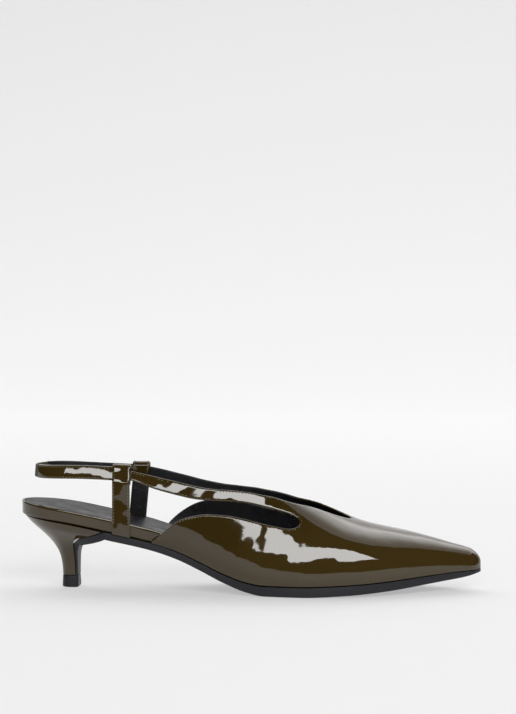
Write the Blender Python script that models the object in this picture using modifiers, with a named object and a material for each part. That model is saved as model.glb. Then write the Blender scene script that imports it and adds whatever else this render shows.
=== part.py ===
# Slingback pump with a pointed toe and a low curved heel: one right shoe, standing empty.
# Metres, +Z up. X runs from heel to toe, +Y is the inner (medial) side, -Y the outer (lateral) side.
# The origin is on the floor, below the middle of the shoe's box.
import bisect
import math

import bmesh
import bpy
import numpy as np

# Driving dimensions of the last and the shoe
LENGTH = 0.262
BALL_WIDTH = 0.0735
SEAT_WIDTH = 0.0490
INSTEP_HEIGHT = 0.0340
HEEL_RISE = 0.0368
TOE_SPRING = 0.0070
SOLE_THICKNESS = 0.0055
SEAT_SHARE = 0.16
WAIST_SHARE = 0.46
TOE_ROUNDING = 0.0070
HEEL_ROUNDING = 0.0260
UPPER_WALL = 0.0014
UPPER_PROUD = 0.0006
GAP = 0.0003
BOX_MIDDLE = 0.00020

# Openings in the upper, as places along the length and sizes
THROAT_AT = 0.189
THROAT_HALF_WIDTH = 0.0238
THROAT_REACH = 0.0380
SLOT_END_LATERAL = 0.1614
SLOT_END_MEDIAL = 0.1580
SLOT_ROUNDING = 0.0080
QUARTER_REAR = 0.0772

# Heel and top lift
STEM_BACK = 0.0233
STEM_LENGTH = 0.0083
STEM_HALF_WIDTH = 0.0053
STEM_ROUNDING_SHARE = 0.85
BREAST_TOP = 0.0507
BREAST_CLEARANCE = 0.0014
HEEL_INSET = 0.0015
FLAP_THICKNESS = 0.0011
FLAP_SWELL_START = 0.35
FLAP_SWELL_END = 0.85
TOP_LIFT_HEIGHT = 0.0068
TOP_LIFT_FLARE = 0.0003
TOP_LIFT_EDGE = 0.0009
TOP_LIFT_ROUNDING_SHARE = 0.50
TOP_LIFT_CORNER_SHARE = 0.84
SOLE_EDGE = 0.0012
SOLE_EDGE_SHARE = 0.50
FLAT_SPOT_SHARES = (0.54, 0.62)

# Insole board, its covered edge and the sock on it
BOARD_EDGE = 0.0076
BOARD_FORE = 0.0022
BOARD_FOOT = 0.0012
RIM_WIDTH = 0.0012
RIM_EDGE = 0.0004
RIM_EDGE_SHARE = 0.10
RIM_FADE_START = 0.080
RIM_FADE_END = 0.100
BOARD_TAPER_START = 0.082
BOARD_TAPER_END = 0.140
BOARD_TUCK_START = 0.073
BOARD_TUCK_END = 0.0785
BOARD_TIP = 0.0033
RIM_STEP = 0.0002
SOCK = 0.0011
SEAT_DISH = 0.0012
ACROSS_SHARES = (-0.6, 0.0, 0.6)

# Straps
BAND_HEIGHT = 0.0076
BAND_THICKNESS = 0.0020
BAND_EDGE = 0.0004
ELASTIC_HEIGHT = 0.0070
ELASTIC_THICKNESS = 0.0015
ELASTIC_END = 0.0122
SLING_BACK = 0.0084
SLING_ROUNDING = 0.0212
SLING_HEIGHT_BACK = 0.0671
SLING_HEIGHT_LATERAL = 0.0667
SLING_HEIGHT_MEDIAL = 0.0648
SLING_CROWN_LATERAL = 0.0008
SLING_CROWN_MEDIAL = 0.0
SLING_LEAN_SHARE = 0.08
STAY_WIDTH = 0.0100
STAY_THICKNESS = 0.0012
STAY_LEAN_LATERAL = 0.0002
STAY_LEAN_MEDIAL = 0.0033
STAY_LEAN_SHARE = 0.60
STAY_EASE = 0.0003
STAY_LATERAL_AT = 0.0606
STAY_MEDIAL_AT = 0.0646

# Line of the seat and the outsole's top: place, share of the heel's rise, share of the toe
# spring, thickness of the sole as a share of the sole's thickness
SOLE_LINE = (
    (0.00, 1.000, 0.00, 0.80),
    (0.10, 0.905, 0.00, 0.80),
    (0.20, 0.764, 0.00, 0.78),
    (0.30, 0.598, 0.00, 0.75),
    (0.35, 0.480, 0.00, 0.76),
    (0.40, 0.322, 0.00, 0.78),
    (0.45, 0.158, 0.00, 0.84),
    (0.50, 0.040, 0.00, 0.93),
    (0.54, 0.000, 0.00, 1.00),
    (0.62, 0.000, 0.00, 1.00),
    (0.70, 0.000, 0.10, 0.98),
    (0.80, 0.000, 0.33, 0.93),
    (0.90, 0.000, 0.68, 0.76),
    (0.96, 0.000, 0.88, 0.60),
    (1.00, 0.000, 1.00, 0.30),
)

# Outline of the sole: place, half width as a share of half the ball's width, sideways swing of
# its middle as a share of half the ball's width
OUTLINE = (
    (0.00, 0.665, 0.00),
    (0.08, 0.668, 0.00),
    (0.16, 0.668, 0.00),
    (0.24, 0.640, -0.01),
    (0.32, 0.605, -0.04),
    (0.40, 0.615, -0.07),
    (0.48, 0.710, -0.08),
    (0.56, 0.860, -0.065),
    (0.63, 0.955, -0.03),
    (0.69, 0.975, 0.015),
    (0.75, 0.925, 0.055),
    (0.81, 0.760, 0.075),
    (0.87, 0.555, 0.080),
    (0.93, 0.355, 0.080),
    (0.97, 0.250, 0.080),
    (1.00, 0.165, 0.080),
)

# Sections of the last: place, height of its crown above the sole line, fullness of the section,
# sideways place of the crown, bulge of the outer side, bulge of the inner side, height of the
# bulge. Heights are shares of the instep's height, widths are shares of half the ball's width.
LAST = (
    (0.22, 3.200, 0.29, 0.00, 0.080, 0.090, 0.45),
    (0.30, 3.080, 0.51, 0.00, 0.110, 0.130, 0.45),
    (0.38, 2.850, 0.76, 0.00, 0.115, 0.150, 0.54),
    (0.46, 2.420, 0.78, 0.01, 0.095, 0.110, 0.47),
    (0.54, 1.930, 0.72, 0.03, 0.070, 0.080, 0.37),
    (0.61, 1.500, 0.68, 0.05, 0.052, 0.056, 0.31),
    (0.66, 1.255, 0.71, 0.07, 0.054, 0.050, 0.34),
    (0.72, 1.005, 0.74, 0.08, 0.062, 0.054, 0.37),
    (0.79, 0.825, 0.75, 0.08, 0.068, 0.062, 0.38),
    (0.86, 0.668, 0.75, 0.08, 0.058, 0.058, 0.32),
    (0.93, 0.475, 0.72, 0.08, 0.042, 0.042, 0.22),
    (0.97, 0.365, 0.66, 0.08, 0.026, 0.026, 0.15),
    (1.00, 0.280, 0.55, 0.08, 0.000, 0.000, 0.08),
)
NOSE_HEIGHT_SHARE = 0.35
NOSE_SEAM_SHARE = 0.50

# Top line of the upper, as heights above the sole line in shares of the instep's height: place,
# outer side, inner side
TOP_LINE = (
    (0.23, 1.103, 1.077),
    (0.27, 1.112, 1.109),
    (0.32, 1.136, 1.129),
    (0.36, 1.182, 1.165),
    (0.40, 1.255, 1.230),
    (0.45, 1.390, 1.345),
    (0.50, 1.490, 1.430),
    (0.54, 1.476, 1.420),
    (0.58, 1.395, 1.350),
    (0.61, 1.300, 1.290),
    (0.65, 1.200, 1.210),
)

# Side strap: place, its width on the outer side, on the inner side, as shares of the instep's height
SIDE_STRAP = (
    (0.22, 0.150, 0.150),
    (0.26, 0.160, 0.165),
    (0.29, 0.195, 0.197),
    (0.33, 0.218, 0.216),
    (0.37, 0.222, 0.212),
    (0.41, 0.205, 0.205),
    (0.46, 0.187, 0.200),
    (0.52, 0.185, 0.203),
    (0.57, 0.188, 0.198),
    (0.62, 0.155, 0.165),
)

# Upper edge of the quarter: place between its rear corner and the slot's end, height above the
# sole line on the outer side, on the inner side, as shares of the instep's height
QUARTER_EDGE = (
    (0.000, 0.000, 0.000),
    (0.055, 0.160, 0.215),
    (0.115, 0.330, 0.405),
    (0.190, 0.540, 0.600),
    (0.270, 0.700, 0.775),
    (0.350, 0.830, 0.910),
    (0.430, 0.930, 1.020),
    (0.510, 1.000, 1.090),
    (0.600, 1.045, 1.130),
    (0.690, 1.045, 1.130),
    (0.790, 1.008, 1.100),
    (0.890, 0.962, 1.062),
    (1.000, 0.925, 1.035),
)

# Throat: root of the share of the way back from its point, opening on the outer side and on the
# inner side as shares of its half width
THROAT = (
    (0.00, 0.000, 0.000),
    (0.16, 0.195, 0.172),
    (0.34, 0.393, 0.341),
    (0.47, 0.531, 0.470),
    (0.57, 0.616, 0.545),
    (0.68, 0.705, 0.631),
    (0.80, 0.798, 0.728),
    (0.88, 0.873, 0.821),
    (1.00, 0.985, 0.967),
)

# Heel, from the stem's foot up to the seat: level, height of the back and height of the front as
# shares of the way up, place of the front as a share of the way from stem to seat, flare
HEEL_LEVELS = (
    (0.00, 0.000, 0.000, 0.000, 0.000),
    (0.15, 0.130, 0.180, 0.000, 0.012),
    (0.30, 0.270, 0.350, 0.000, 0.050),
    (0.42, 0.385, 0.480, 0.000, 0.112),
    (0.52, 0.480, 0.590, 0.002, 0.195),
    (0.62, 0.585, 0.690, 0.018, 0.320),
    (0.72, 0.690, 0.780, 0.100, 0.475),
    (0.82, 0.795, 0.855, 0.340, 0.660),
    (0.91, 0.895, 0.912, 0.655, 0.840),
    (1.00, 1.000, 1.000, 1.000, 1.000),
)

# End of a stay strap's fold, inward and down, as shares of the strap's distance from the sling
STAY_TAIL = (
    (0.0, -1.0),
    (0.8, 0.4),
    (1.7, 1.3),
)

OLIVE = (0.065, 0.045, 0.012)
BLACK_SOLE = (0.030, 0.030, 0.035)
BLACK_LINING = (0.012, 0.012, 0.014)

LATERAL, MEDIAL = -1, 1

# Fineness of the meshes, and the distance within which points become one
QUARTER_ROWS = 6
STRAP_ROWS = 5
QUARTER_CORNER_SHARE = 0.10
STRAP_STATIONS = 4
CORNER_STATIONS = 4
SLOT_STATIONS = 10
SLOT_END_STATIONS = 4
THROAT_STATIONS = 6
VAMP_STATIONS = 10
TOE_STATIONS = 5
HEEL_RINGS = 14
HEEL_SIDE_POINTS = 9
FLAP_STATIONS = 12
SOLE_STATIONS = 24
TOP_LIFT_POINTS = 8
BOARD_STATIONS = 22
BOARD_END_STATIONS = 7
INSOLE_END_STATIONS = 6
BOARD_TIP_STATIONS = 4
SLING_STATIONS = 6
SLING_TURNS = 9
ELASTIC_TURNS = 6
STAY_STATIONS = 4
STAY_RISES = 4
STAY_TURNS = 6
HALVINGS = 40
WELD = 1e-6
SMALLEST_AREA = 1e-8
SHARP = math.radians(40)
BEVEL = 1 - math.sqrt(0.5)


# Curves through the tables


def slopes_kept_level(xs, ys):
    """Slopes of a curve that never overshoots its points, so equal neighbours stay level."""
    steps = np.diff(xs)
    chords = np.diff(ys) / steps
    slopes = np.zeros(len(xs))
    slopes[0], slopes[-1] = chords[0], chords[-1]
    for i in range(1, len(xs) - 1):
        before, after = chords[i - 1], chords[i]
        if before * after > 0:
            slopes[i] = 2 * before * after / (before + after)
    return slopes


def slopes_smooth(xs, ys):
    """Slopes of a natural cubic curve, whose bend is continuous."""
    steps = np.diff(xs)
    chords = np.diff(ys) / steps
    count = len(xs)
    matrix = np.zeros((count, count))
    right = np.zeros(count)
    matrix[0, :2] = 2, 1
    right[0] = 3 * chords[0]
    matrix[-1, -2:] = 1, 2
    right[-1] = 3 * chords[-1]
    for i in range(1, count - 1):
        matrix[i, i - 1] = steps[i]
        matrix[i, i] = 2 * (steps[i - 1] + steps[i])
        matrix[i, i + 1] = steps[i - 1]
        right[i] = 3 * (steps[i] * chords[i - 1] + steps[i - 1] * chords[i])
    return np.linalg.solve(matrix, right)


def curve(table, column, level=False):
    """The table's column as a function of its first column."""
    xs = np.array([row[0] for row in table])
    ys = np.array([row[column] for row in table])
    slopes = slopes_kept_level(xs, ys) if level else slopes_smooth(xs, ys)

    def value(x):
        x = min(max(x, xs[0]), xs[-1])
        i = min(max(bisect.bisect_right(xs.tolist(), x) - 1, 0), len(xs) - 2)
        h = xs[i + 1] - xs[i]
        t = (x - xs[i]) / h
        return float(
            ys[i] * (1 + 2 * t) * (1 - t) ** 2
            + slopes[i] * h * t * (1 - t) ** 2
            + ys[i + 1] * t * t * (3 - 2 * t)
            + slopes[i + 1] * h * t * t * (t - 1)
        )

    return value


def rounded_end(distance, radius):
    """Grows like a quarter circle from 0 at an end to 1 a radius away from it."""
    share = min(max(distance / radius, 0.0), 1.0)
    return math.sqrt(1 - (1 - share) ** 2)


def smoothstep(share):
    share = min(max(share, 0.0), 1.0)
    return share * share * (3 - 2 * share)


def mix(a, b, share):
    return a + (b - a) * share


# The last: every piece takes its place from these functions of s, the distance from the heel's back

heel_rise = curve(SOLE_LINE, 1, level=True)
toe_spring = curve(SOLE_LINE, 2, level=True)
sole_share = curve(SOLE_LINE, 3, level=True)
half_width_share = curve(OUTLINE, 1)
swing_share = curve(OUTLINE, 2)
crown_share = curve(LAST, 1)
fullness = curve(LAST, 2)
crown_side = curve(LAST, 3)
bulge = {LATERAL: curve(LAST, 4), MEDIAL: curve(LAST, 5)}
bulge_height = curve(LAST, 6)
top_line = {LATERAL: curve(TOP_LINE, 1), MEDIAL: curve(TOP_LINE, 2)}
strap_width = {LATERAL: curve(SIDE_STRAP, 1), MEDIAL: curve(SIDE_STRAP, 2)}
quarter_edge = {LATERAL: curve(QUARTER_EDGE, 1), MEDIAL: curve(QUARTER_EDGE, 2)}
throat_share = {LATERAL: curve(THROAT, 1), MEDIAL: curve(THROAT, 2)}
slot_end = {LATERAL: SLOT_END_LATERAL, MEDIAL: SLOT_END_MEDIAL}
stay_at = {LATERAL: STAY_LATERAL_AT, MEDIAL: STAY_MEDIAL_AT}
stay_lean = {LATERAL: STAY_LEAN_LATERAL, MEDIAL: STAY_LEAN_MEDIAL}
sling_height = {LATERAL: SLING_HEIGHT_LATERAL, MEDIAL: SLING_HEIGHT_MEDIAL}
sling_crown = {LATERAL: SLING_CROWN_LATERAL, MEDIAL: SLING_CROWN_MEDIAL}
back_height = curve(HEEL_LEVELS, 1)
front_height = curve(HEEL_LEVELS, 2)
front_place = curve(HEEL_LEVELS, 3, level=True)
flare = curve(HEEL_LEVELS, 4, level=True)

HALF_BALL = BALL_WIDTH / 2


def sole_line(s):
    """Height of the outsole's top, which carries on as the heel's top."""
    share = s / LENGTH
    return SOLE_THICKNESS + HEEL_RISE * heel_rise(share) + TOE_SPRING * toe_spring(share)


def sole_thickness(s):
    return SOLE_THICKNESS * sole_share(s / LENGTH)


def nose(s):
    return rounded_end(LENGTH - s, TOE_ROUNDING)


def half_width(s):
    """Half the sole's width, before its ends are rounded."""
    share = s / LENGTH
    seat = SEAT_WIDTH / 2 / (HALF_BALL * half_width_share(0.0))
    forward = smoothstep((share - SEAT_SHARE) / (WAIST_SHARE - SEAT_SHARE))
    return HALF_BALL * half_width_share(share) * mix(seat, 1.0, forward)


def outline(s, side):
    """Sideways place of the sole's edge."""
    half = half_width(s) * nose(s) * rounded_end(s, HEEL_ROUNDING)
    return HALF_BALL * swing_share(s / LENGTH) + side * half


def section(s, side, t, proud=UPPER_PROUD):
    """Point of the last's surface, from the sole line at t = 0 over to the crown at t = 1."""
    share = s / LENGTH
    ramp = mix(NOSE_HEIGHT_SHARE, 1.0, nose(s))
    crown = INSTEP_HEIGHT * crown_share(share) * ramp
    middle = HALF_BALL * crown_side(share)
    edge = outline(s, side) + side * proud * nose(s)
    full = fullness(share)
    a, b, c, d = (1 - t) ** 3, 3 * t * (1 - t) ** 2, 3 * t * t * (1 - t), t**3
    y = edge * (a + b) + mix(middle, edge, full) * c + middle * d
    z = crown * (full * b + c + d)
    swell = z / (INSTEP_HEIGHT * bulge_height(share))
    y += side * HALF_BALL * bulge[side](share) * swell * math.exp(1 - swell) * (1 - t) * nose(s)
    return s, y, sole_line(s) + z


def at_height(s, side, height):
    """The section's t at a height above the sole line."""
    low, high = 0.0, 1.0
    for _ in range(HALVINGS):
        t = (low + high) / 2
        if section(s, side, t)[2] - sole_line(s) < height:
            low = t
        else:
            high = t
    return (low + high) / 2


def throat_edge(s, side):
    """The section's t at the throat's edge, or 1 ahead of the throat's point."""
    if s >= THROAT_AT:
        return 1.0
    back = math.sqrt(min((THROAT_AT - s) / THROAT_REACH, 1.0))
    middle = HALF_BALL * crown_side(s / LENGTH)
    reach = middle + side * THROAT_HALF_WIDTH * throat_share[side](back)
    low, high = 0.0, 1.0
    for _ in range(HALVINGS):
        t = (low + high) / 2
        if side * (section(s, side, t)[1] - reach) > 0:
            low = t
        else:
            high = t
    return (low + high) / 2


def top_edge(s, side):
    """The section's t at the top line: by height beside the foot, by width at the throat."""
    rear, front = THROAT_AT - THROAT_REACH, THROAT_AT - THROAT_REACH / 2
    by_height = at_height(s, side, INSTEP_HEIGHT * top_line[side](s / LENGTH))
    if s <= rear:
        return by_height
    return mix(by_height, throat_edge(s, side), smoothstep((s - rear) / (front - rear)))


def slot_edges(s, side):
    """The section's t at the quarter's upper edge and at the side strap's lower edge."""
    end = slot_end[side]
    back = min(s, end)
    along = max((back - QUARTER_REAR) / (end - QUARTER_REAR), 0.0)
    low = INSTEP_HEIGHT * quarter_edge[side](along)
    top = section(back, side, top_edge(back, side))[2] - sole_line(back)
    high = top - INSTEP_HEIGHT * strap_width[side](back / LENGTH)
    middle = (low + high) / 2
    closing = rounded_end(end - back, SLOT_ROUNDING)
    edges = [at_height(back, side, mix(middle, edge, closing)) for edge in (low, high)]
    ahead = smoothstep((s - end) / (LENGTH - end))
    return tuple(mix(edge, NOSE_SEAM_SHARE, ahead) for edge in edges)


def place(s, y, z):
    """Point of the shoe's own frame, whose origin is below the middle of its box."""
    return (s - LENGTH / 2, y - BOX_MIDDLE, z)


# Meshes


def mesh_object(name, points, faces, material):
    """Object of the points and faces, with points that lie on each other made one."""
    mesh = bpy.data.meshes.new(name)
    mesh.from_pydata(points, [], faces)
    work = bmesh.new()
    work.from_mesh(mesh)
    bmesh.ops.remove_doubles(work, verts=work.verts, dist=WELD)
    work.to_mesh(mesh)
    work.free()
    mesh.materials.append(material)
    thing = bpy.data.objects.new(name, mesh)
    shoe.objects.link(thing)
    mesh.shade_smooth()
    mesh.set_sharp_from_angle(angle=SHARP)
    return thing


def turn_outward(thing):
    work = bmesh.new()
    work.from_mesh(thing.data)
    bmesh.ops.recalc_face_normals(work, faces=work.faces)
    work.to_mesh(thing.data)
    work.free()


def spans_area(ring):
    """False for a ring that has closed to a line or a point."""
    flat = np.array(ring)
    spins = np.cross(flat, np.roll(flat, -1, axis=0)).sum(axis=0)
    return bool(np.linalg.norm(spins) > SMALLEST_AREA)


def loft(name, rings, material, strip_cap=False):
    """Closed body through rings of equally many points, its ends filled."""
    count = len(rings[0])
    points = [point for ring in rings for point in ring]
    faces = []
    for r in range(len(rings) - 1):
        for i in range(count):
            j = (i + 1) % count
            a, b = r * count, (r + 1) * count
            faces.append((a + i, a + j, b + j, b + i))
    last = (len(rings) - 1) * count
    for start, strips in ((0, False), (last, strip_cap)):
        if strips:
            for i in range(count // 2):
                corners = (i, i + 1, count - 2 - i, count - 1 - i)
                faces.append(tuple(start + corner for corner in dict.fromkeys(corners)))
        elif spans_area(points[start : start + count]):
            faces.append(tuple(range(start, start + count)))
    thing = mesh_object(name, points, faces, material)
    turn_outward(thing)
    return thing


def quarter_turn(count):
    """Shares from 0 to 1 that lie close together near 0, as points of a quarter circle do."""
    return [1 - math.cos(math.pi / 2 * i / count) for i in range(count + 1)]


def spread(start, end, count):
    """Equal steps from start up to, but without, end."""
    return [mix(start, end, i / count) for i in range(count)]


def finish(name, colour, roughness, coat=0.0):
    material = bpy.data.materials.new(name)
    material.use_nodes = True
    shader = material.node_tree.nodes["Principled BSDF"]
    shader.inputs["Base Color"].default_value = (*colour, 1.0)
    shader.inputs["Roughness"].default_value = roughness
    shader.inputs["Metallic"].default_value = 0.0
    shader.inputs["Coat Weight"].default_value = coat
    return material


# The upper


def upper_places(side):
    """Places along the length where the upper's sections stand."""
    end = slot_end[side]
    corner = mix(QUARTER_REAR, end, QUARTER_CORNER_SHARE)
    places = spread(stay_at[side], QUARTER_REAR, STRAP_STATIONS)
    places += spread(QUARTER_REAR, corner, CORNER_STATIONS)
    places += spread(corner, end - SLOT_ROUNDING, SLOT_STATIONS)
    places += [end - SLOT_ROUNDING * share for share in reversed(quarter_turn(SLOT_END_STATIONS))]
    for i in range(1, THROAT_STATIONS + 1):
        places.append(mix(THROAT_AT, end, (1 - i / THROAT_STATIONS) ** 2))
    places += spread(THROAT_AT, LENGTH - TOE_ROUNDING, VAMP_STATIONS)[1:]
    places += [LENGTH - TOE_ROUNDING * share for share in reversed(quarter_turn(TOE_STATIONS))]
    return places


def build_upper(material):
    """The open outer skin in a grid: below the slot, above it, and one sheet ahead of it."""
    points = []
    faces = []
    for side in (LATERAL, MEDIAL):
        places = upper_places(side)
        lower_edge = [slot_edges(s, side) for s in places]
        top = [top_edge(s, side) for s in places]
        for zone, rows in ((0, QUARTER_ROWS), (1, STRAP_ROWS)):
            first = places.index(QUARTER_REAR) if zone == 0 else 0
            start = len(points)
            for k in range(first, len(places)):
                s = places[k]
                bounds = (0.0, lower_edge[k][0]) if zone == 0 else (lower_edge[k][1], top[k])
                for r in range(rows + 1):
                    s_here, y, z = section(s, side, mix(*bounds, r / rows))
                    points.append(place(s_here, y, z + GAP))
            for k in range(len(places) - first - 1):
                for r in range(rows):
                    a = start + k * (rows + 1) + r
                    b = a + rows + 1
                    faces.append((a, b, b + 1, a + 1) if side == LATERAL else (a, a + 1, b + 1, b))
    upper = mesh_object("upper", points, faces, material)
    wall = upper.modifiers.new("wall", "SOLIDIFY")
    wall.thickness = UPPER_WALL
    wall.offset = -1
    wall.use_even_offset = True
    return upper


# Outsole, heel and top lift


def heel_point(level, share):
    """Side view of the heel at a level and a share of the way from its back to its front."""
    foot = TOP_LIFT_HEIGHT + GAP
    back_s = mix(STEM_BACK, HEEL_INSET, flare(level))
    back_z = mix(foot, sole_line(0.0), back_height(level))
    front_s, front_z = breast(level)
    front_s -= mix(GAP, BREAST_CLEARANCE, level)
    s = mix(back_s, front_s, share)
    z = mix(back_z, front_z, share)
    chord = mix(sole_line(0.0), sole_line(front_s), share)
    return s, z + (sole_line(s) - chord) * level**4


def breast(level):
    """Side view of the flap's rear face, which the heel's front meets."""
    foot = TOP_LIFT_HEIGHT + GAP
    s = mix(STEM_BACK + STEM_LENGTH, BREAST_TOP, front_place(level))
    return s, mix(foot, sole_line(BREAST_TOP), front_height(level))


def heel_half(level, share, side):
    """Sideways place of the heel's surface."""
    stem = side * STEM_HALF_WIDTH * rounded_end(share, STEM_ROUNDING_SHARE)
    seat_s = share * (BREAST_TOP - BREAST_CLEARANCE)
    return mix(stem, outline(seat_s, side), flare(level))


def build_heel(material):
    rings = []
    shares = quarter_turn(HEEL_SIDE_POINTS)
    for i in range(HEEL_RINGS + 1):
        level = i / HEEL_RINGS
        ring = []
        for side, order in ((LATERAL, list(reversed(shares))), (MEDIAL, shares[1:])):
            for share in order:
                s, z = heel_point(level, share)
                ring.append(place(s, heel_half(level, share, side), z))
        rings.append(ring)
    return loft("heel", rings, material, strip_cap=True)


def sole_ring(s, z, forward, down, thickness, low, high):
    """Section of the sole: flat above, its lower edges rounded."""
    ring = []
    half = (high - low) / 2
    middle = (high + low) / 2
    edge = min(SOLE_EDGE, half * SOLE_EDGE_SHARE)
    profile = (
        (-half, 0.0),
        (-half, thickness - edge),
        (-half + BEVEL * edge, thickness - BEVEL * edge),
        (-half + edge, thickness),
        (0.0, thickness),
        (half - edge, thickness),
        (half - BEVEL * edge, thickness - BEVEL * edge),
        (half, thickness - edge),
        (half, 0.0),
        (0.0, 0.0),
    )
    for y, depth in profile:
        ring.append(place(s + forward * depth, middle + y, z + down * depth))
    return ring


def build_outsole(material):
    """Up the heel's front, round under the seat and forward to the toe."""
    stations = []
    for i in range(FLAP_STATIONS):
        level = i / FLAP_STATIONS
        s, z = breast(level)
        ends = [heel_half(level, 1.0, side) for side in (LATERAL, MEDIAL)]
        swell = smoothstep((level - FLAP_SWELL_START) / (FLAP_SWELL_END - FLAP_SWELL_START))
        stations.append((s, z, ends, mix(FLAP_THICKNESS, sole_thickness(BREAST_TOP), swell)))
    places = spread(BREAST_TOP, LENGTH - TOE_ROUNDING, SOLE_STATIONS)
    places += [LENGTH - TOE_ROUNDING * share for share in reversed(quarter_turn(TOE_STATIONS))]
    for s in sorted(places + [LENGTH * share for share in FLAT_SPOT_SHARES]):
        ends = [outline(s, side) for side in (LATERAL, MEDIAL)]
        stations.append((s, sole_line(s), ends, sole_thickness(s)))
    rings = []
    for i, (s, z, ends, thickness) in enumerate(stations):
        before = stations[max(i - 1, 0)]
        after = stations[min(i + 1, len(stations) - 1)]
        ds, dz = after[0] - before[0], after[1] - before[1]
        if s > BREAST_TOP:
            ds, dz = 1.0, 0.0
        if i == 0:
            ds, dz = 0.0, 1.0
        size = math.hypot(ds, dz)
        rings.append(sole_ring(s, z, dz / size, -ds / size, thickness, *ends))
    return loft("outsole", rings, material)


def build_top_lift(material):
    """Block under the stem and the flap, wider at the floor, its lower edge rounded."""
    length = STEM_LENGTH + FLAP_THICKNESS
    rings = []
    shares = quarter_turn(TOP_LIFT_POINTS)
    soft = TOP_LIFT_EDGE * BEVEL
    rounding = ((0.0, TOP_LIFT_EDGE), (soft, soft), (TOP_LIFT_EDGE, 0.0), (TOP_LIFT_HEIGHT, 0.0))
    for z, inset in rounding:
        grow = TOP_LIFT_FLARE * (1 - z / TOP_LIFT_HEIGHT) - inset
        ring = []
        for side, order in ((LATERAL, list(reversed(shares))), (MEDIAL, shares[1:])):
            for share in order:
                s = mix(STEM_BACK - grow, STEM_BACK + length + grow, share)
                half = (STEM_HALF_WIDTH + grow) * rounded_end(share, TOP_LIFT_ROUNDING_SHARE)
                corner = mix(TOP_LIFT_CORNER_SHARE, 1.0, rounded_end(1 - share, 1 - TOP_LIFT_CORNER_SHARE))
                ring.append(place(s, side * half * corner, z))
        rings.append(ring)
    return loft("top_lift", rings, material)


# Insole board and sock


def board_edge(s, side, margin=0.0):
    """Edge of the board: at the sole's outline round the seat, inside the wall ahead of it."""
    tuck = smoothstep((s - BOARD_TUCK_START) / (BOARD_TUCK_END - BOARD_TUCK_START))
    inset = (UPPER_WALL + GAP - UPPER_PROUD) * tuck
    heel = rounded_end(s - margin, HEEL_ROUNDING - margin)
    toe = rounded_end(LENGTH - BOARD_TIP - margin - s, TOE_ROUNDING)
    return HALF_BALL * swing_share(s / LENGTH) + side * (half_width(s) - inset - margin) * heel * toe


def board_top(s):
    along = (s - BOARD_TAPER_START) / (BOARD_TAPER_END - BOARD_TAPER_START)
    return sole_line(s) + GAP + mix(BOARD_EDGE, BOARD_FORE, smoothstep(along))


def recess(s):
    """1 where the seat has its rim, fading to 0 ahead of it."""
    return 1 - smoothstep((s - RIM_FADE_START) / (RIM_FADE_END - RIM_FADE_START))


def inside_rim(s, side, clearance):
    """Edge of the recess in the board, or of the sock in it."""
    return board_edge(s, side, RIM_WIDTH * recess(s) + clearance)


def floor_dip(s, across):
    """Depth of the seat's hollow below the recess's floor level."""
    hollow = SEAT_DISH * recess(s) * rounded_end(s - RIM_WIDTH - GAP, HEEL_ROUNDING)
    return hollow * (1 - across * across)


def build_board(material):
    tip = LENGTH - BOARD_TIP
    places = [HEEL_ROUNDING * share for share in quarter_turn(BOARD_END_STATIONS)]
    places = sorted(places + [RIM_WIDTH, RIM_WIDTH + RIM_STEP])
    places += spread(HEEL_ROUNDING, tip - TOE_ROUNDING, BOARD_STATIONS)[1:]
    places += [tip - TOE_ROUNDING * share for share in reversed(quarter_turn(BOARD_TIP_STATIONS))]
    rings = []
    for s in places:
        low, high = board_edge(s, LATERAL), board_edge(s, MEDIAL)
        rim_low, rim_high = inside_rim(s, LATERAL, 0.0), inside_rim(s, MEDIAL, 0.0)
        foot = min(BOARD_FOOT, (high - low) * RIM_EDGE_SHARE)
        bottom = sole_line(s) + GAP + BOARD_FOOT * (1 - rounded_end(s, BOARD_FOOT))
        top = board_top(s)
        deep = (SOCK + GAP) * recess(s) if s > RIM_WIDTH else 0.0
        edge = min(RIM_EDGE, (high - low) * RIM_EDGE_SHARE)
        middle = (rim_low + rim_high) / 2
        ring = [
            (low + foot, bottom),
            (low, bottom + foot),
            (low, top - edge),
            (low + edge, top),
            (max(rim_low, low + edge), top),
            (max(rim_low, low + edge), top - deep),
        ]
        for across in ACROSS_SHARES:
            y = middle + across * (rim_high - rim_low) / 2
            ring.append((y, top - deep - (floor_dip(s, across) if s > RIM_WIDTH else 0.0)))
        ring += [
            (min(rim_high, high - edge), top - deep),
            (min(rim_high, high - edge), top),
            (high - edge, top),
            (high, top - edge),
            (high, bottom + foot),
            (high - foot, bottom),
        ]
        rings.append([place(s, y, z) for y, z in ring])
    return loft("insole_board", rings, material)


def build_insole(material):
    start = RIM_WIDTH + GAP
    tip = LENGTH - BOARD_TIP - GAP
    places = [mix(start, HEEL_ROUNDING, share) for share in quarter_turn(INSOLE_END_STATIONS)]
    places += spread(HEEL_ROUNDING, tip - TOE_ROUNDING, BOARD_STATIONS)[1:]
    places += [tip - TOE_ROUNDING * share for share in reversed(quarter_turn(BOARD_TIP_STATIONS))]
    rings = []
    for s in places:
        low, high = inside_rim(s, LATERAL, GAP), inside_rim(s, MEDIAL, GAP)
        floor = board_top(s) - (SOCK + GAP) * recess(s) + GAP
        ring = []
        spots = [-1.0, *ACROSS_SHARES, 1.0]
        for lift, order in ((0.0, spots), (SOCK, spots[::-1])):
            for across in order:
                y = (low + high) / 2 + across * (high - low) / 2
                ring.append(place(s, y, floor + lift - floor_dip(s, across)))
        rings.append(ring)
    return loft("insole", rings, material)


# Sling and stay straps


def side_strap_middle(s, side):
    """Middle of the upper's side strap at the sling's join."""
    low, high = slot_edges(s, side)[1], top_edge(s, side)
    _, y, _ = section(s, side, (low + high) / 2)
    return y - side * UPPER_WALL / 2


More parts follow.
